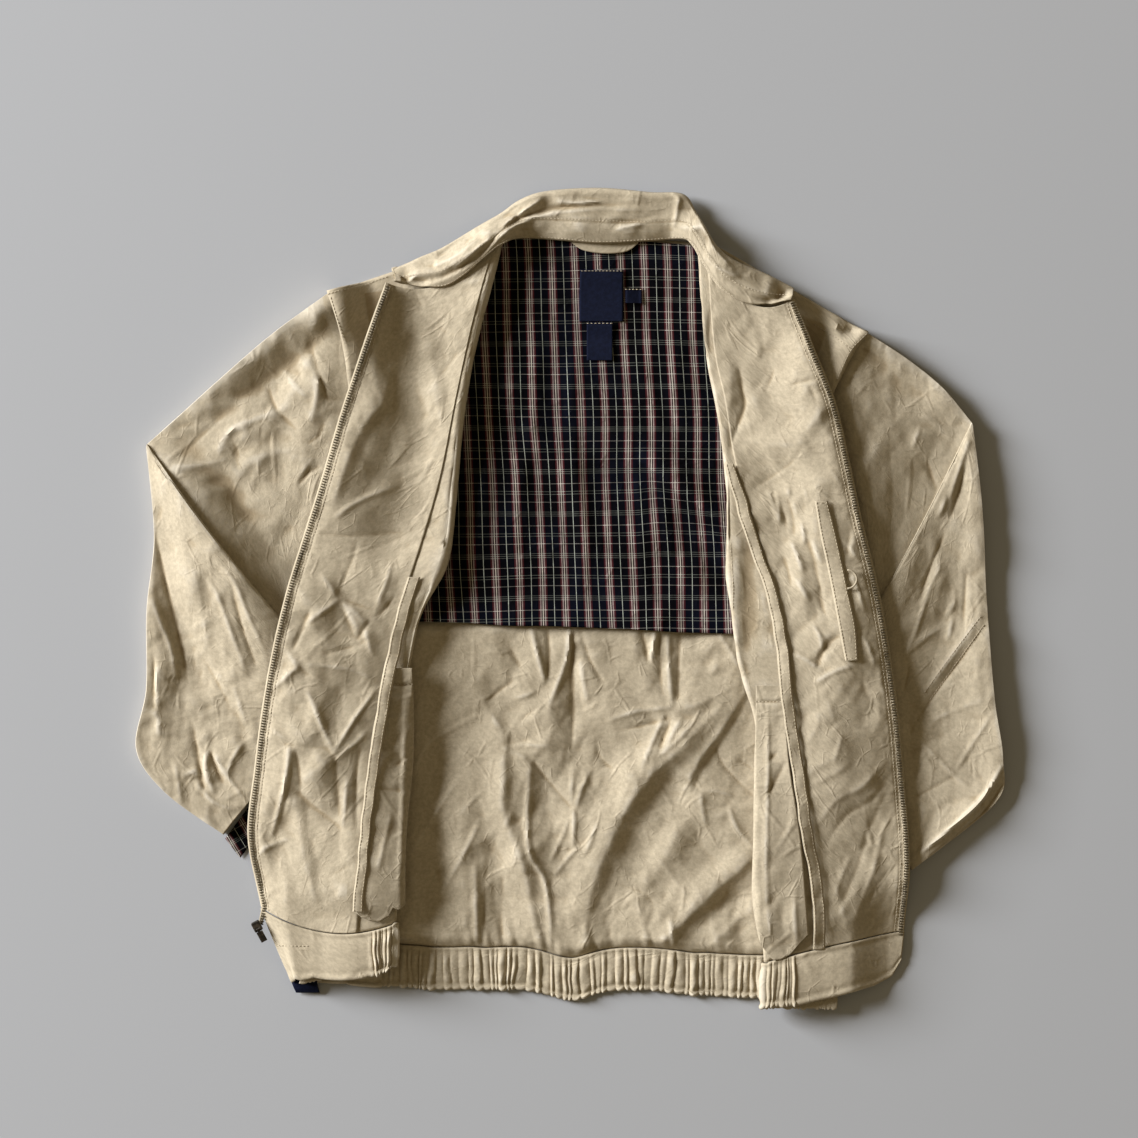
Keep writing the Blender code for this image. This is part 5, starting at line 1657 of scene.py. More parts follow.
LINING_GRID = (110, 150)
FLAT_FROM = 205.0  # further out than this, the lining is pressed flat under the sleeves and fronts
FOLD_CORNER = (104, 101)  # a point of the fold across the lower left of the lining
FOLD_SIDE = (0.61, 0.79)  # the way across that fold
FOLD_HEIGHT = 4.5
FOLD_PINCH = -2.5  # how far the pattern is taken up below the fold


def add_lining(sizes):
    """The plaid lining of the back, from its loose hem up to the neck, with a fold across its lower left."""
    table = [LINING_HEM] + [row for row in BACK if row.left_y > 0]
    rows = straight_rows(table, np.linspace(0, len(table) - 1, LINING_GRID[0]))
    rows[:, 0] += 2
    rows[:, 2] -= 2
    rows[-1, [1, 3]] -= 3
    x, y = back_points(rows, np.linspace(0, 1, LINING_GRID[1]))
    y[0] += 1.2 * lumps(x[0], 0 * x[0], 40, 2)
    loose = creased(x, y, LINING_CREASES) + 0.8 * sizes.slack * crumple(x, y, 2)
    flat = eased((FLAT_FROM - np.abs(x)) / 30)
    z = laid.under(x, y, 3, 10) + GAP + slack(2.6 + loose) * flat
    hem = np.clip((y - y[0]) / 16, 0, 1)
    z = z - 1.4 * (1 - hem) * (1 - 0.6 * bell(y, y[0], 2.5))
    below = -((x - FOLD_CORNER[0]) * FOLD_SIDE[0] + (y - FOLD_CORNER[1]) * FOLD_SIDE[1])
    along_fold = eased((x - 60) / 24)
    tucked = eased(below / 4 + 0.5) * along_fold
    z += FOLD_HEIGHT * np.exp(np.minimum(below, 0) / 12) * (along_fold - tucked)
    pinch = FOLD_PINCH * bell(below, 0, 110) * eased(below / 20) * along_fold
    wave = 1.6 * lumps(x, y, 70, 5)
    lie = np.stack([x + 0.045 * (y - 130) + wave + 94, y + 1.5 * lumps(x, y, 80, 6) + pinch], axis=-1)
    lay_cloth("plaid_lining", spots(x, y, z), sizes.lining, plaid(), ["back_lining"], lie)


STRAP_CLOTH = 0.9
LABEL_CLOTH = 0.6


def add_labels():
    """Three bare labels at the neck, a loop to hang the jacket by, and a bare label at the hem."""
    x, y = ribbon_plan(HANGER_LOOP, 60, 9)
    z = laid.under(x, y, 4, 4) + GAP + 0.6
    lay_cloth("hanger_strap", spots(x, y, z), STRAP_CLOTH, twill(), ["hanger_loop"])
    for name, table, node in LABELS:
        x, y = strip_plan(table, 26, 22)
        z = laid.under(x, y, 4, 4) + GAP + 0.2
        lay_cloth(name, spots(x, y, z), LABEL_CLOTH, navy_label(), [node])


UPPER_ARM_ROWS = 80
FOREARM_ROWS = 150
SLEEVE_COLUMNS = 76  # over the top of a sleeve
UNDERSIDE_COLUMNS = 9
EDGE_COLUMNS = 6
EDGE_ROLL = 0.3  # how far the roll at the edge of a flat tube swells out


def arc_between(top, bottom, edge, out, count):
    """A half turn from one layer of a tube to the other: the places, as (count, rows, 3)."""
    radius = (top - bottom) / 2
    side = np.minimum(radius, EDGE_ROLL)
    turns = np.linspace(math.pi / 2, -math.pi / 2, count + 2)[1:-1]
    arcs = []
    for turn in turns:
        plan = edge + out * (side * math.cos(turn))[:, None]
        arcs.append(np.column_stack([plan, (top + bottom) / 2 + radius * math.sin(turn)]))
    return arcs


def across_row(row, share):
    """Points of one row of a sleeve, from its outer side to its inner side."""
    return row[:2] + (row[2:] - row[:2]) * share[:, None]


def add_sleeve(name, node, arm, sizes):
    """A sleeve lies flat, folded back at the elbow so that the forearm laps over the upper arm."""
    upper_rows = smooth_rows(arm.upper, UPPER_ARM_ROWS)
    fore_rows = smooth_rows(arm.forearm, FOREARM_ROWS)
    elbow = upper_rows[-1]
    s = np.linspace(0, 1, SLEEVE_COLUMNS)
    thick = sizes.twill
    bow = np.array(arm.armhole, float)
    aside = np.interp(s, bow[:, 0], bow[:, 1])
    line = elbow[2:] - elbow[:2]
    past = np.array([line[1], -line[0]]) / np.linalg.norm(line)
    if past[1] > 0:
        past = -past
    deep = sizes.elbow_tuck * eased(s / 0.14)
    from_corner = 0.3 + 0.7 * eased(s / 0.3)

    def height_at(plan):
        x, y = plan[:, 0], plan[:, 1]
        swell = sum(swollen(x, y, rows) for rows in arm.swells)
        loose = creased(x, y, arm.creases) + netted(x, y, arm.creases, arm.layer)
        loose = loose + sizes.slack * crumple(x, y, arm.layer)
        under_front = eased((SLEEVE_CLEAR - np.abs(x)) / 40)
        return 0.6 + slack(sizes.sleeve_puff + loose + swell * (1 - under_front)) + 2.0 * under_front

    tops, lows = [], []
    for number, row in enumerate(upper_rows):
        plan = across_row(row, s)
        near = (1 - number / (len(upper_rows) - 1)) ** 1.3
        plan[:, 0] -= arm.away * (aside * near + TUCKED * s**2 * (1 - near))
        tops.append(np.column_stack([plan, height_at(plan)]))
        lows.append(row)
    for tuck in ELBOW_TUCK:
        plan = across_row(elbow, s) + past * (deep * tuck.past)[:, None]
        plan[:, 0] -= arm.away * TUCKED * s**2
        rise = tuck.lift * max(arm.lap, 1.0) if tuck.lift < 1 else tuck.lift * arm.lap * from_corner
        tops.append(np.column_stack([plan, height_at(plan) + rise]))
        lows.append(elbow + np.concatenate([past, past]) * 0.6 * tuck.step)
    for row in fore_rows[1:]:
        plan = across_row(row, s)
        plan[:, 0] -= arm.away * TUCKED * s**2
        fade = 1 - eased(((plan - elbow[:2]) @ past) / sizes.elbow_fade)
        tops.append(np.column_stack([plan, height_at(plan) + arm.lap * ELBOW_LIFT * fade * from_corner]))
        lows.append(row)
    top, low = np.array(tops), np.array(lows)
    out = low[:, :2] - low[:, 2:]
    out /= np.linalg.norm(out, axis=1, keepdims=True)
    far = np.linalg.norm(top[:, :, :2] - top[:, :1, :2], axis=2)
    marks = [0, len(upper_rows), len(upper_rows) + len(ELBOW_TUCK) + 30]
    stands = np.interp(np.arange(len(low)), marks, [*arm.raised, arm.raised[1]])
    top[..., 2] += stands[:, None] * eased(1 - far / RAISED_EDGE)
    base = np.full(len(low), thick + 0.1)
    radius = (top[:, 0, 2] - base) / 2
    inset = np.minimum(radius, EDGE_ROLL) + thick
    top[..., :2] -= (out * inset[:, None])[:, None] * np.exp(-far / 12)[..., None]
    arcs = arc_between(top[:, 0, 2], base, top[:, 0, :2], out, EDGE_COLUMNS)
    start = low[:, None, :2] - (out * inset[:, None])[:, None]
    plan = between(start, low[:, None, 2:], np.linspace(0, 1, UNDERSIDE_COLUMNS)[None, :, None])
    floor = np.broadcast_to(base[:, None, None], (*plan.shape[:2], 1))
    bottom = np.concatenate([plan, floor], axis=2)
    grid = np.concatenate([top[:, ::-1], np.stack(arcs, axis=1), bottom], axis=1)
    lie = along_cloth(grid)
    lie[..., 1] = lie[:, [SLEEVE_COLUMNS // 2], 1]
    made = add_cloth(name, grid, thick, twill(), lie=lie)
    laid.lay(top + (0, 0, thick), 2)
    sew_on(made, [node])


def add_cuff_lining(sizes):
    """The inside of the right cuff, where it shows."""
    x, y = ribbon_plan(RIGHT_CUFF_LINING, 30, 12)
    z = np.full(x.shape, 0.4) + 0.8 * (1 + lumps(x, y, 14, 9))
    lie = np.stack([x + y * 0.6, y - x * 0.6], axis=-1)
    lay_cloth("cuff_lining", spots(x, y, z), sizes.lining, plaid(), ["right_cuff_lining"], lie)


def front_plan(row, places):
    """Points of one row of a front between its zip edge and its folded edge, by way of the facing's edge."""
    x = np.interp(places, [0, 1, 2], [row[0], row[2], row[4]])
    share = (x - row[0]) / (row[4] - row[0])
    return x, np.interp(places, [0, 1, 2], [row[1], row[3], row[5]]) + row[8] * 4 * share * (1 - share)


ZIP_COLUMNS = 12  # close together along the zip, for its rows of stitches
ZIP_PLACE = 0.13  # how far these reach, from the zip (0) to the edge of the facing (1)
FACING_COLUMNS = 52
FOLD_COLUMNS = 17
FRONT_ROWS = 315
FOLD_INSET = 2.2  # how far the folded edge lies inside the outline, besides its roll
TIP = (246, 236)  # x and y from which the tip of a shoulder lies flat
TIP_SHARE = 0.9


def flat_tip(x, y, z):
    """Lets the tip of a shoulder down on what it lies on."""
    tip = TIP_SHARE * eased((y - TIP[1]) / 14) * eased((np.abs(x) - TIP[0]) / 12)
    return z + (laid.under(x, y, 1, 2) + GAP - z) * tip


def add_front(name, node, table, away, creases, swells, layer, sizes):
    """A front, folded back on itself: from the side seam, round the fold and out to the zip, inside up."""
    rows = smooth_rows(table, FRONT_ROWS)
    thick = sizes.twill
    fold_x = rows[:, [4]] + away * (sizes.fold_roll / 2 + FOLD_INSET)
    under_share = np.linspace(1, 0, 26)
    x = between(fold_x, rows[:, [6]], under_share)
    y = between(rows[:, [5]], rows[:, [7]], under_share)
    shows = eased((rows[:, [1]] - 90) / 60)
    loose = (creased(x, y, creases) + sizes.slack * crumple(x, y, layer)) * shows
    z = laid.under(x, y, 6, 10) + GAP + thick + np.maximum(0, loose + 1.0)
    to_waist = np.clip((rows[:, [7]] - rows[-1, 7]) / 80, 0, 1)
    z += (BAND - thick + 0.6) * (1 - eased(to_waist))
    under = spots(x, y, flat_tip(x, y, z))
    laid.lay(under, 3)
    first = np.linspace(0, ZIP_PLACE, ZIP_COLUMNS + 1)[:-1]
    second = np.linspace(ZIP_PLACE, 1, FACING_COLUMNS + 1)[:-1]
    places = np.concatenate([first, second, np.linspace(1, 2, FOLD_COLUMNS)])[::-1]
    x, y = (np.array(part) for part in zip(*(front_plan(row, places) for row in rows)))
    x[:, 0] = fold_x[:, 0]
    from_fold = np.abs(x - fold_x)
    from_zip = np.abs(x - rows[:, [0]])
    loose = creased(x, y, creases) + netted(x, y, creases, layer)
    loose *= 1.0 if away < 0 else 0.6 + 0.4 * eased((y + 120) / 80)
    loose += sizes.slack * crumple(x, y, layer)
    calm = eased((y - rows[[-1], 1] + 10) / 30)
    rolled = 0.2 + 0.8 * eased((y - 10) / 60) if away < 0 else 0.3
    z = laid.under(x, y, 8, 16) + GAP + rolled * sizes.fold_roll * np.exp(-from_fold / 22)
    z += slack(sizes.front_puff + loose) * (0.35 + 0.65 * calm) * (0.45 + 0.55 * eased(from_zip / 20))
    for swell in swells:
        z += swollen(x, y, swell) * (0.3 + 0.7 * calm)
    top = spots(x, y, flat_tip(x, y, z))
    radius = (top[:, 0, 2] - under[:, -1, 2]) / 2
    bends = []
    for turn in np.radians([-72, -48, -24, 0, 24, 48, 72]):
        bend_x = fold_x[:, 0] - away * radius * math.cos(turn)
        bends.append(spots(bend_x, rows[:, 5], under[:, -1, 2] + radius * (1 + math.sin(turn))))
    grid = np.concatenate([under, np.stack(bends, axis=1), top[:, ::2]], axis=1)[::2, ::-1]
    made = add_cloth(name, grid, thick, twill())
    laid.lay(top + (0, 0, thick), 2)
    edges[name] = grid
    edges[name + "_top"] = top[:, ::-1]
    sew_on(made, [node])


FACING_STITCHES = (6.2, 9.4)  # the two rows of stitches beside the zip, from the edge of the facing
ZIP_RIDGE = 3.2  # where the facing stands up over the zip's tape


def add_facing(name, node, front, past, sizes):
    """The facing lies on the inside of a front, from the zip to `past` columns beyond its seam."""
    top = edges[front + "_top"]
    grid = top[:, : ZIP_COLUMNS + FACING_COLUMNS + past].copy()
    grid[:, 0] = 0.6 * grid[:, 0] + 0.4 * grid[:, 1]
    from_zip = lengths_along(grid, 1)
    grid[..., 2] += sizes.twill + GAP
    grid[..., 2] += 0.9 * bell(from_zip, ZIP_RIDGE, 1.6)
    for row in FACING_STITCHES:
        grid[..., 2] -= 0.45 * bell(from_zip, row, 0.9)
    grid[..., 2] += 0.35 * (1 + lumps(grid[..., 0], grid[..., 1], 6, 11)) * bell(from_zip, 9, 9)
    lay_cloth(name, grid, sizes.lining, twill(), [node])


BINDING_CLOTH = 0.7
WELT_CLOTH = 0.9
BAG_CLOTH = 0.8
BAG_HEM = 15.0  # depth of the hem along the top of a pocket bag


def add_binding(name, table):
    """The strip that binds the free edge of a facing, a little puckered by its stitches."""
    x, y = strip_plan(table, 220, 9)
    x = x + 0.8 * lumps(0 * x, y, 14, 15)
    rounded = np.sin(math.pi * np.linspace(0, 1, 9)) ** 0.5
    z = laid.under(x, y, 2, 3) + GAP + 0.6 * rounded + 0.6 * lumps(x, y, 8, 12)
    lay_cloth(name, spots(x, y, z), BINDING_CLOTH, twill())


def add_pocket_bag(name, node, table, bottom, layer, sizes):
    """The bag of a side pocket lies on the inside of the front, with a sewn hem along its top."""
    x, y = strip_plan(table, 120, 26)
    sag = np.interp(np.linspace(0, 1, 26), *np.array(bottom).T)
    y -= sag * np.exp((y[-1] - y) / 14)
    loose = creased(x, y, POCKET_CREASES) + netted(x, y, POCKET_CREASES, 8)
    loose = loose + 0.7 * sizes.slack * crumple(x, y, layer)
    from_top = np.abs(y - y[0])
    hem = 1.0 - 0.8 * bell(from_top, BAG_HEM, 1.5) * (from_top < 40)
    z = laid.under(x, y, 3, 6) + GAP + slack(1.2 + loose) * hem
    lay_cloth(name, spots(x, y, z), BAG_CLOTH, pocketing(), [node])


def add_welt():
    """The welt of the inner pocket is sewn to the left facing, with a loop for its button."""
    x, y = strip_plan(INNER_POCKET_WELT, 90, 12)
    rounded = np.sin(math.pi * np.linspace(0, 1, 12)) ** 0.4
    z = laid.under(x, y, 2, 4) + GAP + 0.9 * rounded + 0.3 * lumps(x, y, 8, 14)
    lay_cloth("pocket_welt", spots(x, y, z), WELT_CLOTH, twill(), ["inner_pocket_welt"])


def add_front_band(name, node, front, cuts, away, layer, sizes):
    """A front waistband: plain from the zip, gathered towards the fold, and back under."""
    edge = edges[front][-1]
    top_count = (ZIP_COLUMNS + FACING_COLUMNS + FOLD_COLUMNS + 1) // 2
    gather, raised, dips = pleats(FRONT_PLEATS, 9, layer)
    flat = np.linspace(0, 0.8, 60)[:-1]
    gathers = 0.8 + 0.2 * gather
    under_gather, under_raised, under_dips = pleats(UNDER_PLEATS, 7, layer + 1)
    shares = np.concatenate([flat, gathers, 1 + under_gather[1:]])
    run = lengths_along(edge[None], 1)[0]
    reach = np.interp(shares, [0, 1, 2], [0, run[top_count - 1], run[-1]])
    points = np.stack([np.interp(reach, run, edge[:, axis]) for axis in range(3)], axis=-1)
    tall = np.concatenate([0 * flat, raised * 0.9, under_raised[1:] * 0.9])
    dip = np.concatenate([0.5 + 0 * flat, dips, under_dips[1:]])
    slope = np.gradient(points[:, [0, 2]], axis=0)
    slope /= np.maximum(np.linalg.norm(slope, axis=1, keepdims=True), 1e-6)
    normals = np.column_stack([away * slope[:, 1], 0 * tall, -away * slope[:, 0]])
    cut = np.array(cuts, float)
    drops = np.interp(shares, cut[:, 0], cut[:, 1])
    heights = np.interp(shares, cut[:, 0], cut[:, 2])
    points[:, 1] -= SEAM
    grid = band_grid(points, drops, heights, normals, tall, dip, sizes.pleat_depth)
    made = add_cloth(name, grid, BAND_CLOTH * sizes.twill, twill())
    laid.lay(grid[:BAND_UPPER_ROWS, : len(flat) + len(gathers)], 2)
    sew_on(made, [node])


COLLAR_CLOTH = 1.6
COLLAR_GRID = (260, 34)  # along it and across it
COLLAR_MIDDLE = 22  # x of the middle of the collar
COLLAR_TURN = 5.0  # how far the outer edge of the collar is turned in, down at what it lies on
COLLAR_TURN_ROWS = 8


def add_collar(sizes):
    """A stand-up collar, flattened: sewn to the neck, folded along the top, its outer edge turned down."""
    rows, columns = COLLAR_GRID
    x, y = ribbon_plan(COLLAR_ROWS, rows, columns)
    edge = smooth_rows(COLLAR_ROWS, rows)
    u = np.linspace(0, 1, columns)
    loose = creased(x, y, COLLAR_CREASES) + 1.7 * netted(x, y, COLLAR_CREASES, 6)
    loose = loose + 1.0 * sizes.slack * crumple(x, y, 6)
    bow = np.interp(u, *COLLAR_BOW)
    aside = np.abs(x - COLLAR_MIDDLE)
    seam = eased((u - 0.55) / 0.45) * eased((aside - 85) / 30)
    near = np.maximum(seam, eased((aside - 160) / 14))
    rests = between(laid.under(x, y, 6, 8), laid.under(x, y, 1, 2), near)
    full = 0.2 + 0.8 * np.sin(math.pi * u) ** 0.5
    z = rests + GAP + 0.85 * edge[:, [4]] * bow + slack(1.6 + loose) * full
    grid = spots(x, y, z)
    turned = np.linspace(1, 0, COLLAR_TURN_ROWS + 1)[1:, None, None]
    inward = (grid[1] - grid[0]) * (1, 1, 0)
    inward *= COLLAR_TURN / np.linalg.norm(inward, axis=1, keepdims=True)
    rest_z = laid.under(x[:1], y[:1], 1, 2)[0] + GAP
    hem = grid[0] + inward * np.sin(math.pi * 0.5 * (1 - turned)) ** 2
    hem[..., 2] = rest_z + (z[0] - rest_z) * turned[..., 0]
    made = add_cloth("collar_cloth", np.concatenate([hem[::-1], grid]), COLLAR_CLOTH, twill())
    laid.lay(grid + (0, 0, COLLAR_CLOTH), 2)
    edges["collar_cloth"] = grid
    sew_on(made, ["collar"])


# ---------------------------------------------------------------- runs of teeth and stitches


def run_tree():
    """Geometry Nodes: one small solid again and again along a path, upright, at an even pitch."""
    name = "jacket_run"
    if name in bpy.data.node_groups:
        return bpy.data.node_groups[name]
    group = bpy.data.node_groups.new(name, "GeometryNodeTree")
    face = group.interface
    for label, kind, value in RUN_SOCKETS:
        made = face.new_socket(label, in_out="INPUT", socket_type="NodeSocket" + kind)
        if value is not None:
            made.default_value = value
    face.new_socket("Geometry", in_out="OUTPUT", socket_type="NodeSocketGeometry")
    tree = Tree(group)
    given = group.nodes.new("NodeGroupInput").outputs
    curve = tree.add("GeometryNodeMeshToCurve", {"Mesh": given["Path"]})
    inputs = {"Curve": curve.outputs[0], "Length": given["Pitch"]}
    points = tree.add("GeometryNodeCurveToPoints", inputs, mode="LENGTH")
    inputs = {"Vector": points.outputs["Tangent"]}
    along = tree.add("FunctionNodeAlignRotationToVector", inputs, axis="X")
    inputs = {"Rotation": along.outputs[0], "Vector": (0.0, 0.0, 1.0)}
    upright = tree.add("FunctionNodeAlignRotationToVector", inputs, axis="Z", pivot_axis="X")
    bar = tree.add("GeometryNodeMeshCylinder", {"Vertices": 8, "Radius": 0.5, "Depth": 1.0}).outputs["Mesh"]
    lying = tree.add("GeometryNodeTransform", {"Geometry": bar, "Rotation": (0.0, math.pi / 2, 0.0)})
    cross = tree.add("GeometryNodeTransform", {"Geometry": bar, "Rotation": (math.pi / 2, 0.0, 0.0)})
    inputs = {"Switch": given["Across"], "False": lying.outputs[0], "True": cross.outputs[0]}
    shape = tree.add("GeometryNodeSwitch", inputs, input_type="GEOMETRY")
    size = tree.add("ShaderNodeCombineXYZ", {0: given["Length"], 1: given["Width"], 2: given["Height"]})
    least = tree.math("SUBTRACT", 1.0, given["Jitter"])
    most = tree.math("ADD", 1.0, given["Jitter"])
    chance = tree.add("FunctionNodeRandomValue", data_type="FLOAT")
    for label, value in (("Min", least), ("Max", most), ("Seed", given["Seed"])):
        socket = next(s for s in chance.inputs if s.name == label and s.enabled)
        group.links.new(value, socket)
    drawn = next(s for s in chance.outputs if s.enabled)
    inputs = {
        "Points": points.outputs["Points"],
        "Instance": shape.outputs[0],
        "Rotation": upright.outputs[0],
        "Scale": tree.times(size.outputs[0], drawn),
    }
    placed = tree.add("GeometryNodeInstanceOnPoints", inputs)
    real = tree.add("GeometryNodeRealizeInstances", {"Geometry": placed.outputs[0]})
    dyed = tree.add("GeometryNodeSetMaterial", {"Geometry": real.outputs[0], "Material": given["Finish"]})
    group.links.new(dyed.outputs[0], group.nodes.new("NodeGroupOutput").inputs[0])
    return group


def add_run(name, paths, finish, **inputs):
    """A plain mesh of the solids that stand along several paths."""
    points = np.concatenate(paths) * MM
    ends, start = [], 0
    for path in paths:
        ends += [(start + step, start + step + 1) for step in range(len(path) - 1)]
        start += len(path)
    mesh = bpy.data.meshes.new(name + "_path")
    mesh.from_pydata(points.tolist(), ends, [])
    made = bpy.data.objects.new(name, mesh)
    bpy.context.scene.collection.objects.link(made)
    run = made.modifiers.new("Run", "NODES")
    run.node_group = run_tree()
    items = run.node_group.interface.items_tree
    sockets = {item.name: item.identifier for item in items if item.in_out == "INPUT"}
    run[sockets["Finish"]] = finish
    for label, value in inputs.items():
        run[sockets[label]] = value
    bpy.context.view_layer.update()
    whole = bpy.data.meshes.new_from_object(made.evaluated_get(bpy.context.evaluated_depsgraph_get()))
    if not whole.polygons:
        raise RuntimeError(f"{name}: its path gave no pieces")
    made.modifiers.remove(run)
    made.data = whole
    bpy.data.meshes.remove(mesh)
    return made


def evened(path, pitch=2.0):
    """A path with a point every `pitch`, straight between its own points."""
    path = np.asarray(path, float)
    run = np.concatenate([[0], np.cumsum(np.linalg.norm(np.diff(path[:, :2], axis=0), axis=1))])
    at = np.linspace(0, run[-1], max(2, int(run[-1] / pitch)))
    return np.stack([np.interp(at, run, path[:, axis]) for axis in range(path.shape[1])], axis=-1)


def on_top(path, lift=0.15):
    """A path laid on the topmost cloth."""
    path = evened(path)
    z = laid.surface(path[:, 0], path[:, 1])
    soft = np.convolve(np.pad(z, 2, mode="edge"), np.ones(5) / 5, mode="valid")
    return np.column_stack([path[:, :2], soft + lift])


def beside(path, aside):
    """A path moved to its left by `aside`."""
    path = np.asarray(path, float)
    slope = np.gradient(path[:, :2], axis=0)
    slope /= np.linalg.norm(slope, axis=1, keepdims=True)
    return np.column_stack([path[:, 0] - slope[:, 1] * aside, path[:, 1] + slope[:, 0] * aside, path[:, 2:]])


TAPE_CLOTH = 0.8
TEETH_ASIDE = 3.6  # from the edge of the front to the middle of the teeth
ZIP_TAILS = {"front_right": (-3.2, -15.0, 0.0), "front_left": (0.0, -4.0, 0.0)}


def add_zip(sizes):
    """Each side of the zip: its tape and its row of teeth."""
    for front, node, away in (("front_right", "right_zip_tape", -1), ("front_left", "left_zip_tape", 1)):
        side = front.removeprefix("front_")
        grid = edges[front]
        edge = np.vstack([grid[:, 0], grid[-1, 0] + ZIP_TAILS[front]])[2:]
        edge[:, 2] = laid.under(edge[:, 0], edge[:, 1], 3, 5) * 0.35 + edge[:, 2] * 0.65
        tape = np.stack([beside(edge, -away * share) for share in np.linspace(0.6, 4.6, 5)], axis=1)
        tape[..., 2] += 0.4
        sew_on(add_cloth("tape_" + side, tape, TAPE_CLOTH, twill()))
        middle = beside(edge, -away * TEETH_ASIDE)
        middle[:, 2] += 1.9
        sized = {"Pitch": 2.5 * MM, "Length": 1.35 * MM, "Width": 3.6 * MM, "Height": sizes.tooth * MM}
        made = add_run("teeth_" + side, [middle], antique_brass(), Jitter=0.04, Across=True, **sized)
        made.data.shade_flat()
        sew_on(made, [node])
        laid.lay(tape + (0, 0, 2 * TAPE_CLOTH), 2)


COLLAR_SEAM_COLUMN = 20  # where the fall of the collar is sewn to its stand


def line_at(grid, aside):
    """The line on a cloth that lies `aside` from its first edge."""
    rows = zip(lengths_along(grid, 1), grid)
    return np.array([[np.interp(aside, run, row[:, axis]) for axis in (0, 1)] for run, row in rows])


def stitch_rows():
    """The rows of stitches along the seams, hems, labels and the inner pocket, laid on the cloth."""
    plans = []
    for name in ("facing_right", "facing_left"):
        plans += [line_at(edges[name], aside)[4:-2] for aside in FACING_STITCHES]
    for name in ("binding_right", "binding_left", "pocket_welt"):
        plans += [edges[name][2:-2, column] for column in (1, -2)]
    plans += [edges["pocket_welt"][row, 1:-1] for row in (2, -3)]
    collar = edges["collar_cloth"]
    plans += [collar[6:-6, COLLAR_SEAM_COLUMN], collar[30:-30, -2]]
    plans += [edges[name][1, 1:-1] for name, _, _ in LABELS]
    plans += [edges[name][0] - (0, BAG_HEM, 0) for name in ("pocket_right", "pocket_left")]
    plans += [smooth_rows(seam, 40) for seam in SEAM_STITCHES]
    return [on_top(plan[:, :2]) for plan in plans]


def add_stitches(sizes):
    """All stitches, as one mesh."""
    sized = {"Pitch": 3.2 * MM, "Length": 2.3 * MM, "Width": sizes.thread * MM, "Height": sizes.thread * MM}
    made = add_run("stitches", stitch_rows(), thread_finish(), Jitter=0.12, **sized)
    made.data.shade_smooth()
    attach(made, "jacket")


def finish_metal():
    """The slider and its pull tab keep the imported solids, in gunmetal."""
    finish = gunmetal()
    for name in ("zip_slider", "zip_pull_tab"):
        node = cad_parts[name]
        node.data.materials.clear()
        node.data.materials.append(finish)


LOOP_MIDDLE = (256.5, 18)
LOOP_RADIUS = 8.5
CORD_RADIUS = 0.9


def add_loop():
    """The half-round loop of cord beside the inner pocket."""
    turn = np.linspace(-0.5, 0.5, 25) * math.pi
    x = LOOP_MIDDLE[0] + LOOP_RADIUS * np.cos(turn)
    y = LOOP_MIDDLE[1] + LOOP_RADIUS * np.sin(turn)
    z = laid.surface(x, y).max() + 0.2 + CORD_RADIUS + 0 * x
    around = np.linspace(0, 2 * math.pi, 11)[:-1]
    up = np.array([0, 0, 1])
    rings = []
    for middle, t in zip(spots(x, y, z), turn):
        out = np.array([math.cos(t), math.sin(t), 0])
        rings.append([middle + CORD_RADIUS * (out * math.cos(a) + up * math.sin(a)) for a in around])
    made = add_cloth("button_loop", np.array(rings), 0, twill(), ring=True)
    turn_out(made.data, fill=True)
    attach(made, "jacket")
    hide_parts("inner_pocket_loop")


# ---------------------------------------------------------------- settings, operators and panel


def size(name, default, description, low=0.0):
    """A length in the panel."""
    return FloatProperty(name=name, default=default, min=low, description=description + ", in millimetres")


class JacketSizes(PropertyGroup):
    twill: size("Twill", 0.9, "Thickness of the outer cloth", 0.3)
    lining: size("Lining", 0.6, "Thickness of the lining and the facings", 0.3)
    slack: FloatProperty(name="Slack", default=1.0, min=0.0, description="How crumpled the cloth is")
    sleeve_puff: size("Sleeve puff", 7.0, "How high a sleeve stands between its creases", 4.0)
    front_puff: size("Front puff", 2.5, "How high a front stands between its creases", 1.0)
    fold_roll: size("Fold roll", 3.2, "Extra height where a front is folded back")
    elbow_tuck: size("Elbow tuck", 13.0, "How far the cloth runs back under the fold of a forearm", 4.0)
    elbow_fade: size("Elbow fade", 90.0, "How far down a forearm the height of that fold fades out", 20.0)
    pleat_depth: size("Pleat depth", 1.7, "How high the gathers of the waistband stand")
    tooth: size("Tooth", 1.9, "Height of a tooth of the zip", 0.5)
    thread: size("Thread", 0.5, "Thickness of the sewing thread", 0.2)


def shade(name, default, description):
    """A colour in the panel."""
    return FloatVectorProperty(
        name=name, subtype="COLOR", size=3, min=0.0, max=1.0, default=default, description=description
    )


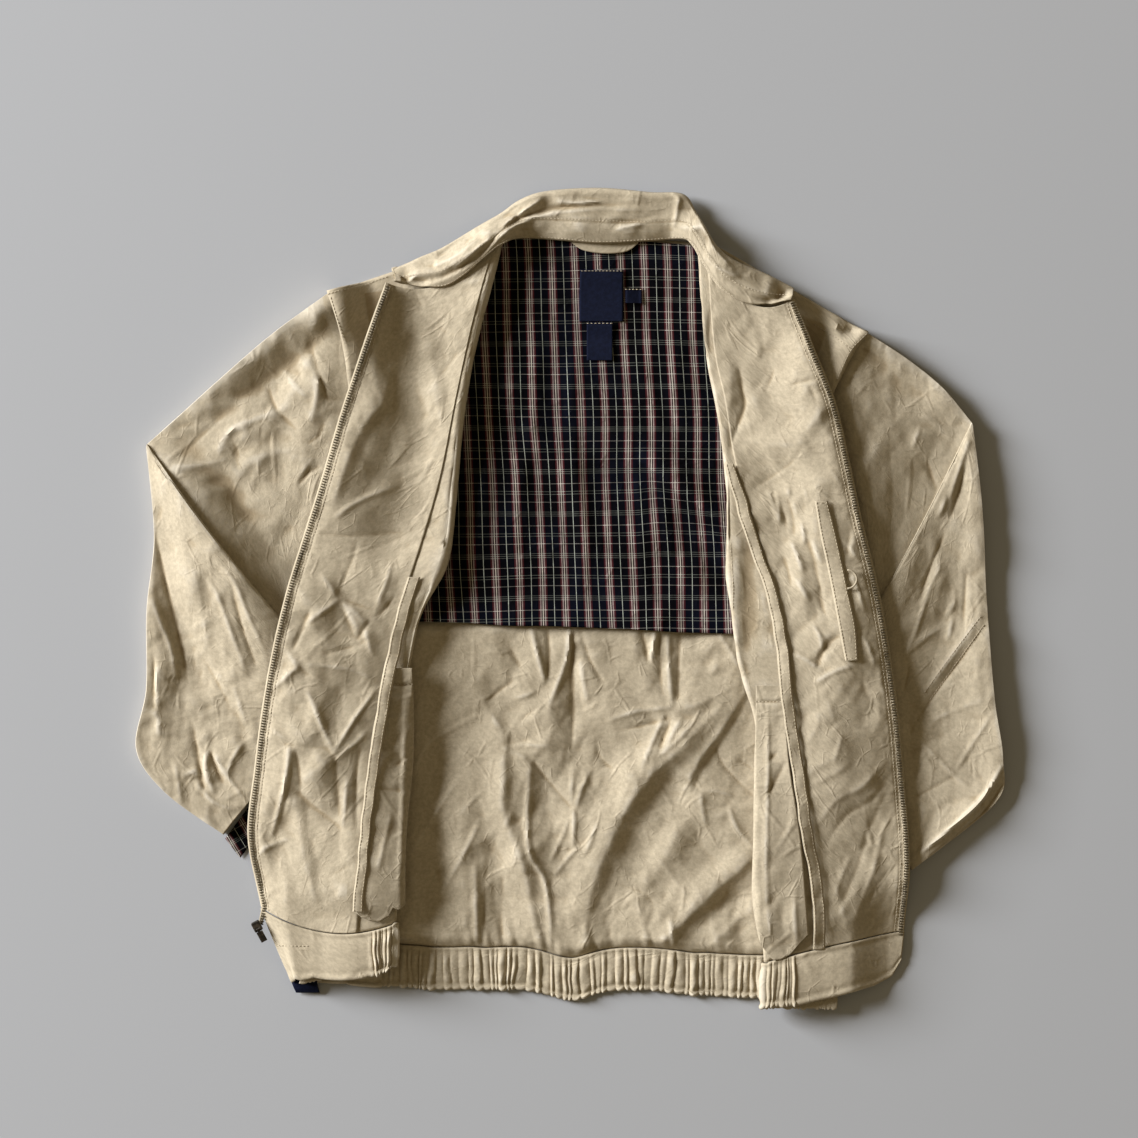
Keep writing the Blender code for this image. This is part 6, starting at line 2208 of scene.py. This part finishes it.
class JacketColors(PropertyGroup):
    twill: shade("Twill", (0.468, 0.405, 0.300), "Colour of the outer cloth and the facings")
    # painted shade: the darker colour painted into the creases and hollows of the cloth
    twill_painted_shade: shade("Twill in hollows", (0.27, 0.19, 0.095), "Its colour down in the creases")
    pocketing: shade("Pocketing", (0.445, 0.385, 0.285), "Colour of the pocket bags")
    plaid_ground: shade("Plaid ground", (0.0022, 0.0022, 0.0036), "Ground of the lining")
    plaid_ground_blue: shade("Plaid ground, bluish", (0.003, 0.004, 0.009), "Its bluer clouds")
    plaid_red: shade("Plaid red", (0.10, 0.022, 0.026), "Edges of the warp bands")
    plaid_pink: shade("Plaid pink", (0.31, 0.20, 0.20), "Pink stripes of the warp bands")
    plaid_tan: shade("Plaid tan", (0.30, 0.23, 0.185), "Middle stripe of the warp bands")
    plaid_white: shade("Plaid white", (0.72, 0.69, 0.63), "Fine white lines")
    plaid_mint: shade("Plaid mint", (0.54, 0.58, 0.51), "Fine greenish lines")
    navy_label: shade("Labels", (0.004, 0.006, 0.018), "Colour of the woven labels")
    brass: shade("Zip teeth", (0.13, 0.112, 0.08), "Colour of the zip's teeth")
    gunmetal: shade("Slider", (0.05, 0.045, 0.042), "Colour of the zip's slider")


class JACKET_OT_back(Operator):
    """Lays the back panel and its gathered waistband"""

    bl_idname = "jacket.back"
    bl_label = "Back"

    def execute(self, context):
        sizes = context.scene.jacket_sizes
        add_back(sizes)
        add_back_band(sizes)
        return {"FINISHED"}


class JACKET_OT_lining(Operator):
    """Lays the plaid lining, the hanger loop and the labels"""

    bl_idname = "jacket.lining"
    bl_label = "Lining and labels"

    def execute(self, context):
        sizes = context.scene.jacket_sizes
        add_lining(sizes)
        add_labels()
        return {"FINISHED"}


class JACKET_OT_sleeves(Operator):
    """Lays both sleeves, folded at the elbow"""

    bl_idname = "jacket.sleeves"
    bl_label = "Sleeves"

    def execute(self, context):
        sizes = context.scene.jacket_sizes
        add_sleeve("sleeve_right", "right_sleeve", RIGHT_ARM, sizes)
        add_sleeve("sleeve_left", "left_sleeve", LEFT_ARM, sizes)
        add_cuff_lining(sizes)
        return {"FINISHED"}


class JACKET_OT_fronts(Operator):
    """Lays both fronts, folded open"""

    bl_idname = "jacket.fronts"
    bl_label = "Fronts"

    def execute(self, context):
        sizes = context.scene.jacket_sizes
        swells = [RIGHT_FRONT_SWELL, RIGHT_FOLD_SWELL]
        add_front("front_right", "right_front", RIGHT_FRONT, -1, RIGHT_FRONT_CREASES, swells, 5, sizes)
        swells = [LEFT_FRONT_SWELL]
        add_front("front_left", "left_front", LEFT_FRONT, 1, LEFT_FRONT_CREASES, swells, 7, sizes)
        return {"FINISHED"}


class JACKET_OT_facings(Operator):
    """Lays the pocket bags, the facings with their bindings, and the inner pocket"""

    bl_idname = "jacket.facings"
    bl_label = "Facings and pockets"

    def execute(self, context):
        sizes = context.scene.jacket_sizes
        add_pocket_bag("pocket_right", "right_pocket_bag", RIGHT_POCKET_BAG, RIGHT_BAG_FOOT, 8, sizes)
        add_pocket_bag("pocket_left", "left_pocket_bag", LEFT_POCKET_BAG, LEFT_BAG_FOOT, 9, sizes)
        add_facing("facing_right", "right_facing", "front_right", 4, sizes)
        add_facing("facing_left", "left_facing", "front_left", 0, sizes)
        add_binding("binding_right", RIGHT_BINDING)
        add_binding("binding_left", LEFT_BINDING)
        add_welt()
        add_loop()
        return {"FINISHED"}


class JACKET_OT_bands(Operator):
    """Sews the waistband to both fronts"""

    bl_idname = "jacket.bands"
    bl_label = "Front waistbands"

    def execute(self, context):
        sizes = context.scene.jacket_sizes
        add_front_band("band_right", "waistband_right_front", "front_right", RIGHT_BAND, -1, 21, sizes)
        add_front_band("band_left", "waistband_left_front", "front_left", LEFT_BAND, 1, 22, sizes)
        return {"FINISHED"}


class JACKET_OT_collar(Operator):
    """Lays the collar"""

    bl_idname = "jacket.collar"
    bl_label = "Collar"

    def execute(self, context):
        add_collar(context.scene.jacket_sizes)
        return {"FINISHED"}


class JACKET_OT_zip(Operator):
    """Adds the zip's tapes and teeth, and finishes its slider and pull tab"""

    bl_idname = "jacket.zip"
    bl_label = "Zip"

    def execute(self, context):
        add_zip(context.scene.jacket_sizes)
        finish_metal()
        return {"FINISHED"}


class JACKET_OT_stitches(Operator):
    """Sews rows of stitches along the seams and hems"""

    bl_idname = "jacket.stitches"
    bl_label = "Stitches"

    def execute(self, context):
        add_stitches(context.scene.jacket_sizes)
        return {"FINISHED"}


ROOM_COLOR = (1.0, 0.80, 0.48, 1)
ROOM_LIGHT = 0.2
FLOOR_SIDE = 8.0  # metres
FLOOR_DEPTH = -0.0005
CAMERA_PLACE = (0.0005, 0.0274, 3.0)
VIEW_SIDE = 1.058  # metres of the floor that the camera takes in
SENSOR = 36  # millimetres


def add_light(name, place, side, power, color):
    """A square light that faces the middle of the floor."""
    data = bpy.data.lights.new(name, "AREA")
    data.shape = "SQUARE"
    data.size = side
    data.energy = power
    data.color = color
    data.spread = math.pi
    made = bpy.data.objects.new(name, data)
    made.location = place
    made.rotation_euler = (-Vector(place)).to_track_quat("-Z", "Y").to_euler()
    bpy.context.scene.collection.objects.link(made)
    return made


class JACKET_OT_stage(Operator):
    """Sets the floor, the soft light and the camera straight above"""

    bl_idname = "jacket.stage"
    bl_label = "Stage"

    def execute(self, context):
        scene = context.scene
        mesh = bpy.data.meshes.new("floor")
        reach = FLOOR_SIDE / 2
        corners = [(-reach, -reach), (reach, -reach), (reach, reach), (-reach, reach)]
        mesh.from_pydata([(*corner, FLOOR_DEPTH) for corner in corners], [], [(0, 1, 2, 3)])
        floor = bpy.data.objects.new("floor", mesh)
        scene.collection.objects.link(floor)
        finish, tree, shader = new_material("pale_floor")
        pale = {"Base Color": (0.435, 0.452, 0.486, 1), "Roughness": 0.9, "Specular IOR Level": 0.1}
        tree.join(shader, pale)
        mesh.materials.append(finish)
        world = bpy.data.worlds.new("soft_room")
        world.use_nodes = True
        backdrop = world.node_tree.nodes["Background"]
        backdrop.inputs["Color"].default_value = ROOM_COLOR
        backdrop.inputs["Strength"].default_value = ROOM_LIGHT
        scene.world = world
        key = add_light("window", place=(-8.6, 3.3, 3.3), side=3.7, power=2330, color=(1.0, 1.0, 1.0))
        data = bpy.data.cameras.new("camera")
        data.sensor_width = SENSOR
        data.lens = SENSOR * CAMERA_PLACE[2] / VIEW_SIDE
        camera = bpy.data.objects.new("camera", data)
        camera.location = CAMERA_PLACE
        scene.collection.objects.link(camera)
        scene.camera = camera
        scene.view_settings.view_transform = "Standard"
        return {"FINISHED"}


STEPS = (
    JACKET_OT_back,
    JACKET_OT_lining,
    JACKET_OT_sleeves,
    JACKET_OT_fronts,
    JACKET_OT_facings,
    JACKET_OT_bands,
    JACKET_OT_zip,
    JACKET_OT_collar,
    JACKET_OT_stitches,
    JACKET_OT_stage,
)


class JACKET_PT_panel(Panel):
    """The steps of the jacket, in order, and its settings"""

    bl_idname = "JACKET_PT_panel"
    bl_label = "Jacket"
    bl_space_type = "VIEW_3D"
    bl_region_type = "UI"
    bl_category = "Jacket"

    def draw(self, context):
        column = self.layout.column(align=True)
        for step in STEPS:
            column.operator(step.bl_idname)
        for group in (context.scene.jacket_sizes, context.scene.jacket_colors):
            box = self.layout.box()
            for name in group.__annotations__:
                box.prop(group, name)


CLASSES = (JacketSizes, JacketColors, *STEPS, JACKET_PT_panel)


def register():
    for made in CLASSES:
        bpy.utils.register_class(made)
    bpy.types.Scene.jacket_sizes = PointerProperty(type=JacketSizes)
    bpy.types.Scene.jacket_colors = PointerProperty(type=JacketColors)


def unregister():
    del bpy.types.Scene.jacket_colors
    del bpy.types.Scene.jacket_sizes
    for made in reversed(CLASSES):
        bpy.utils.unregister_class(made)


def main():
    register()
    for step in STEPS:
        operator = step.bl_idname.split(".")[1]
        getattr(bpy.ops.jacket, operator)()
    bpy.context.view_layer.update()


if __name__ == "__main__":
    main()
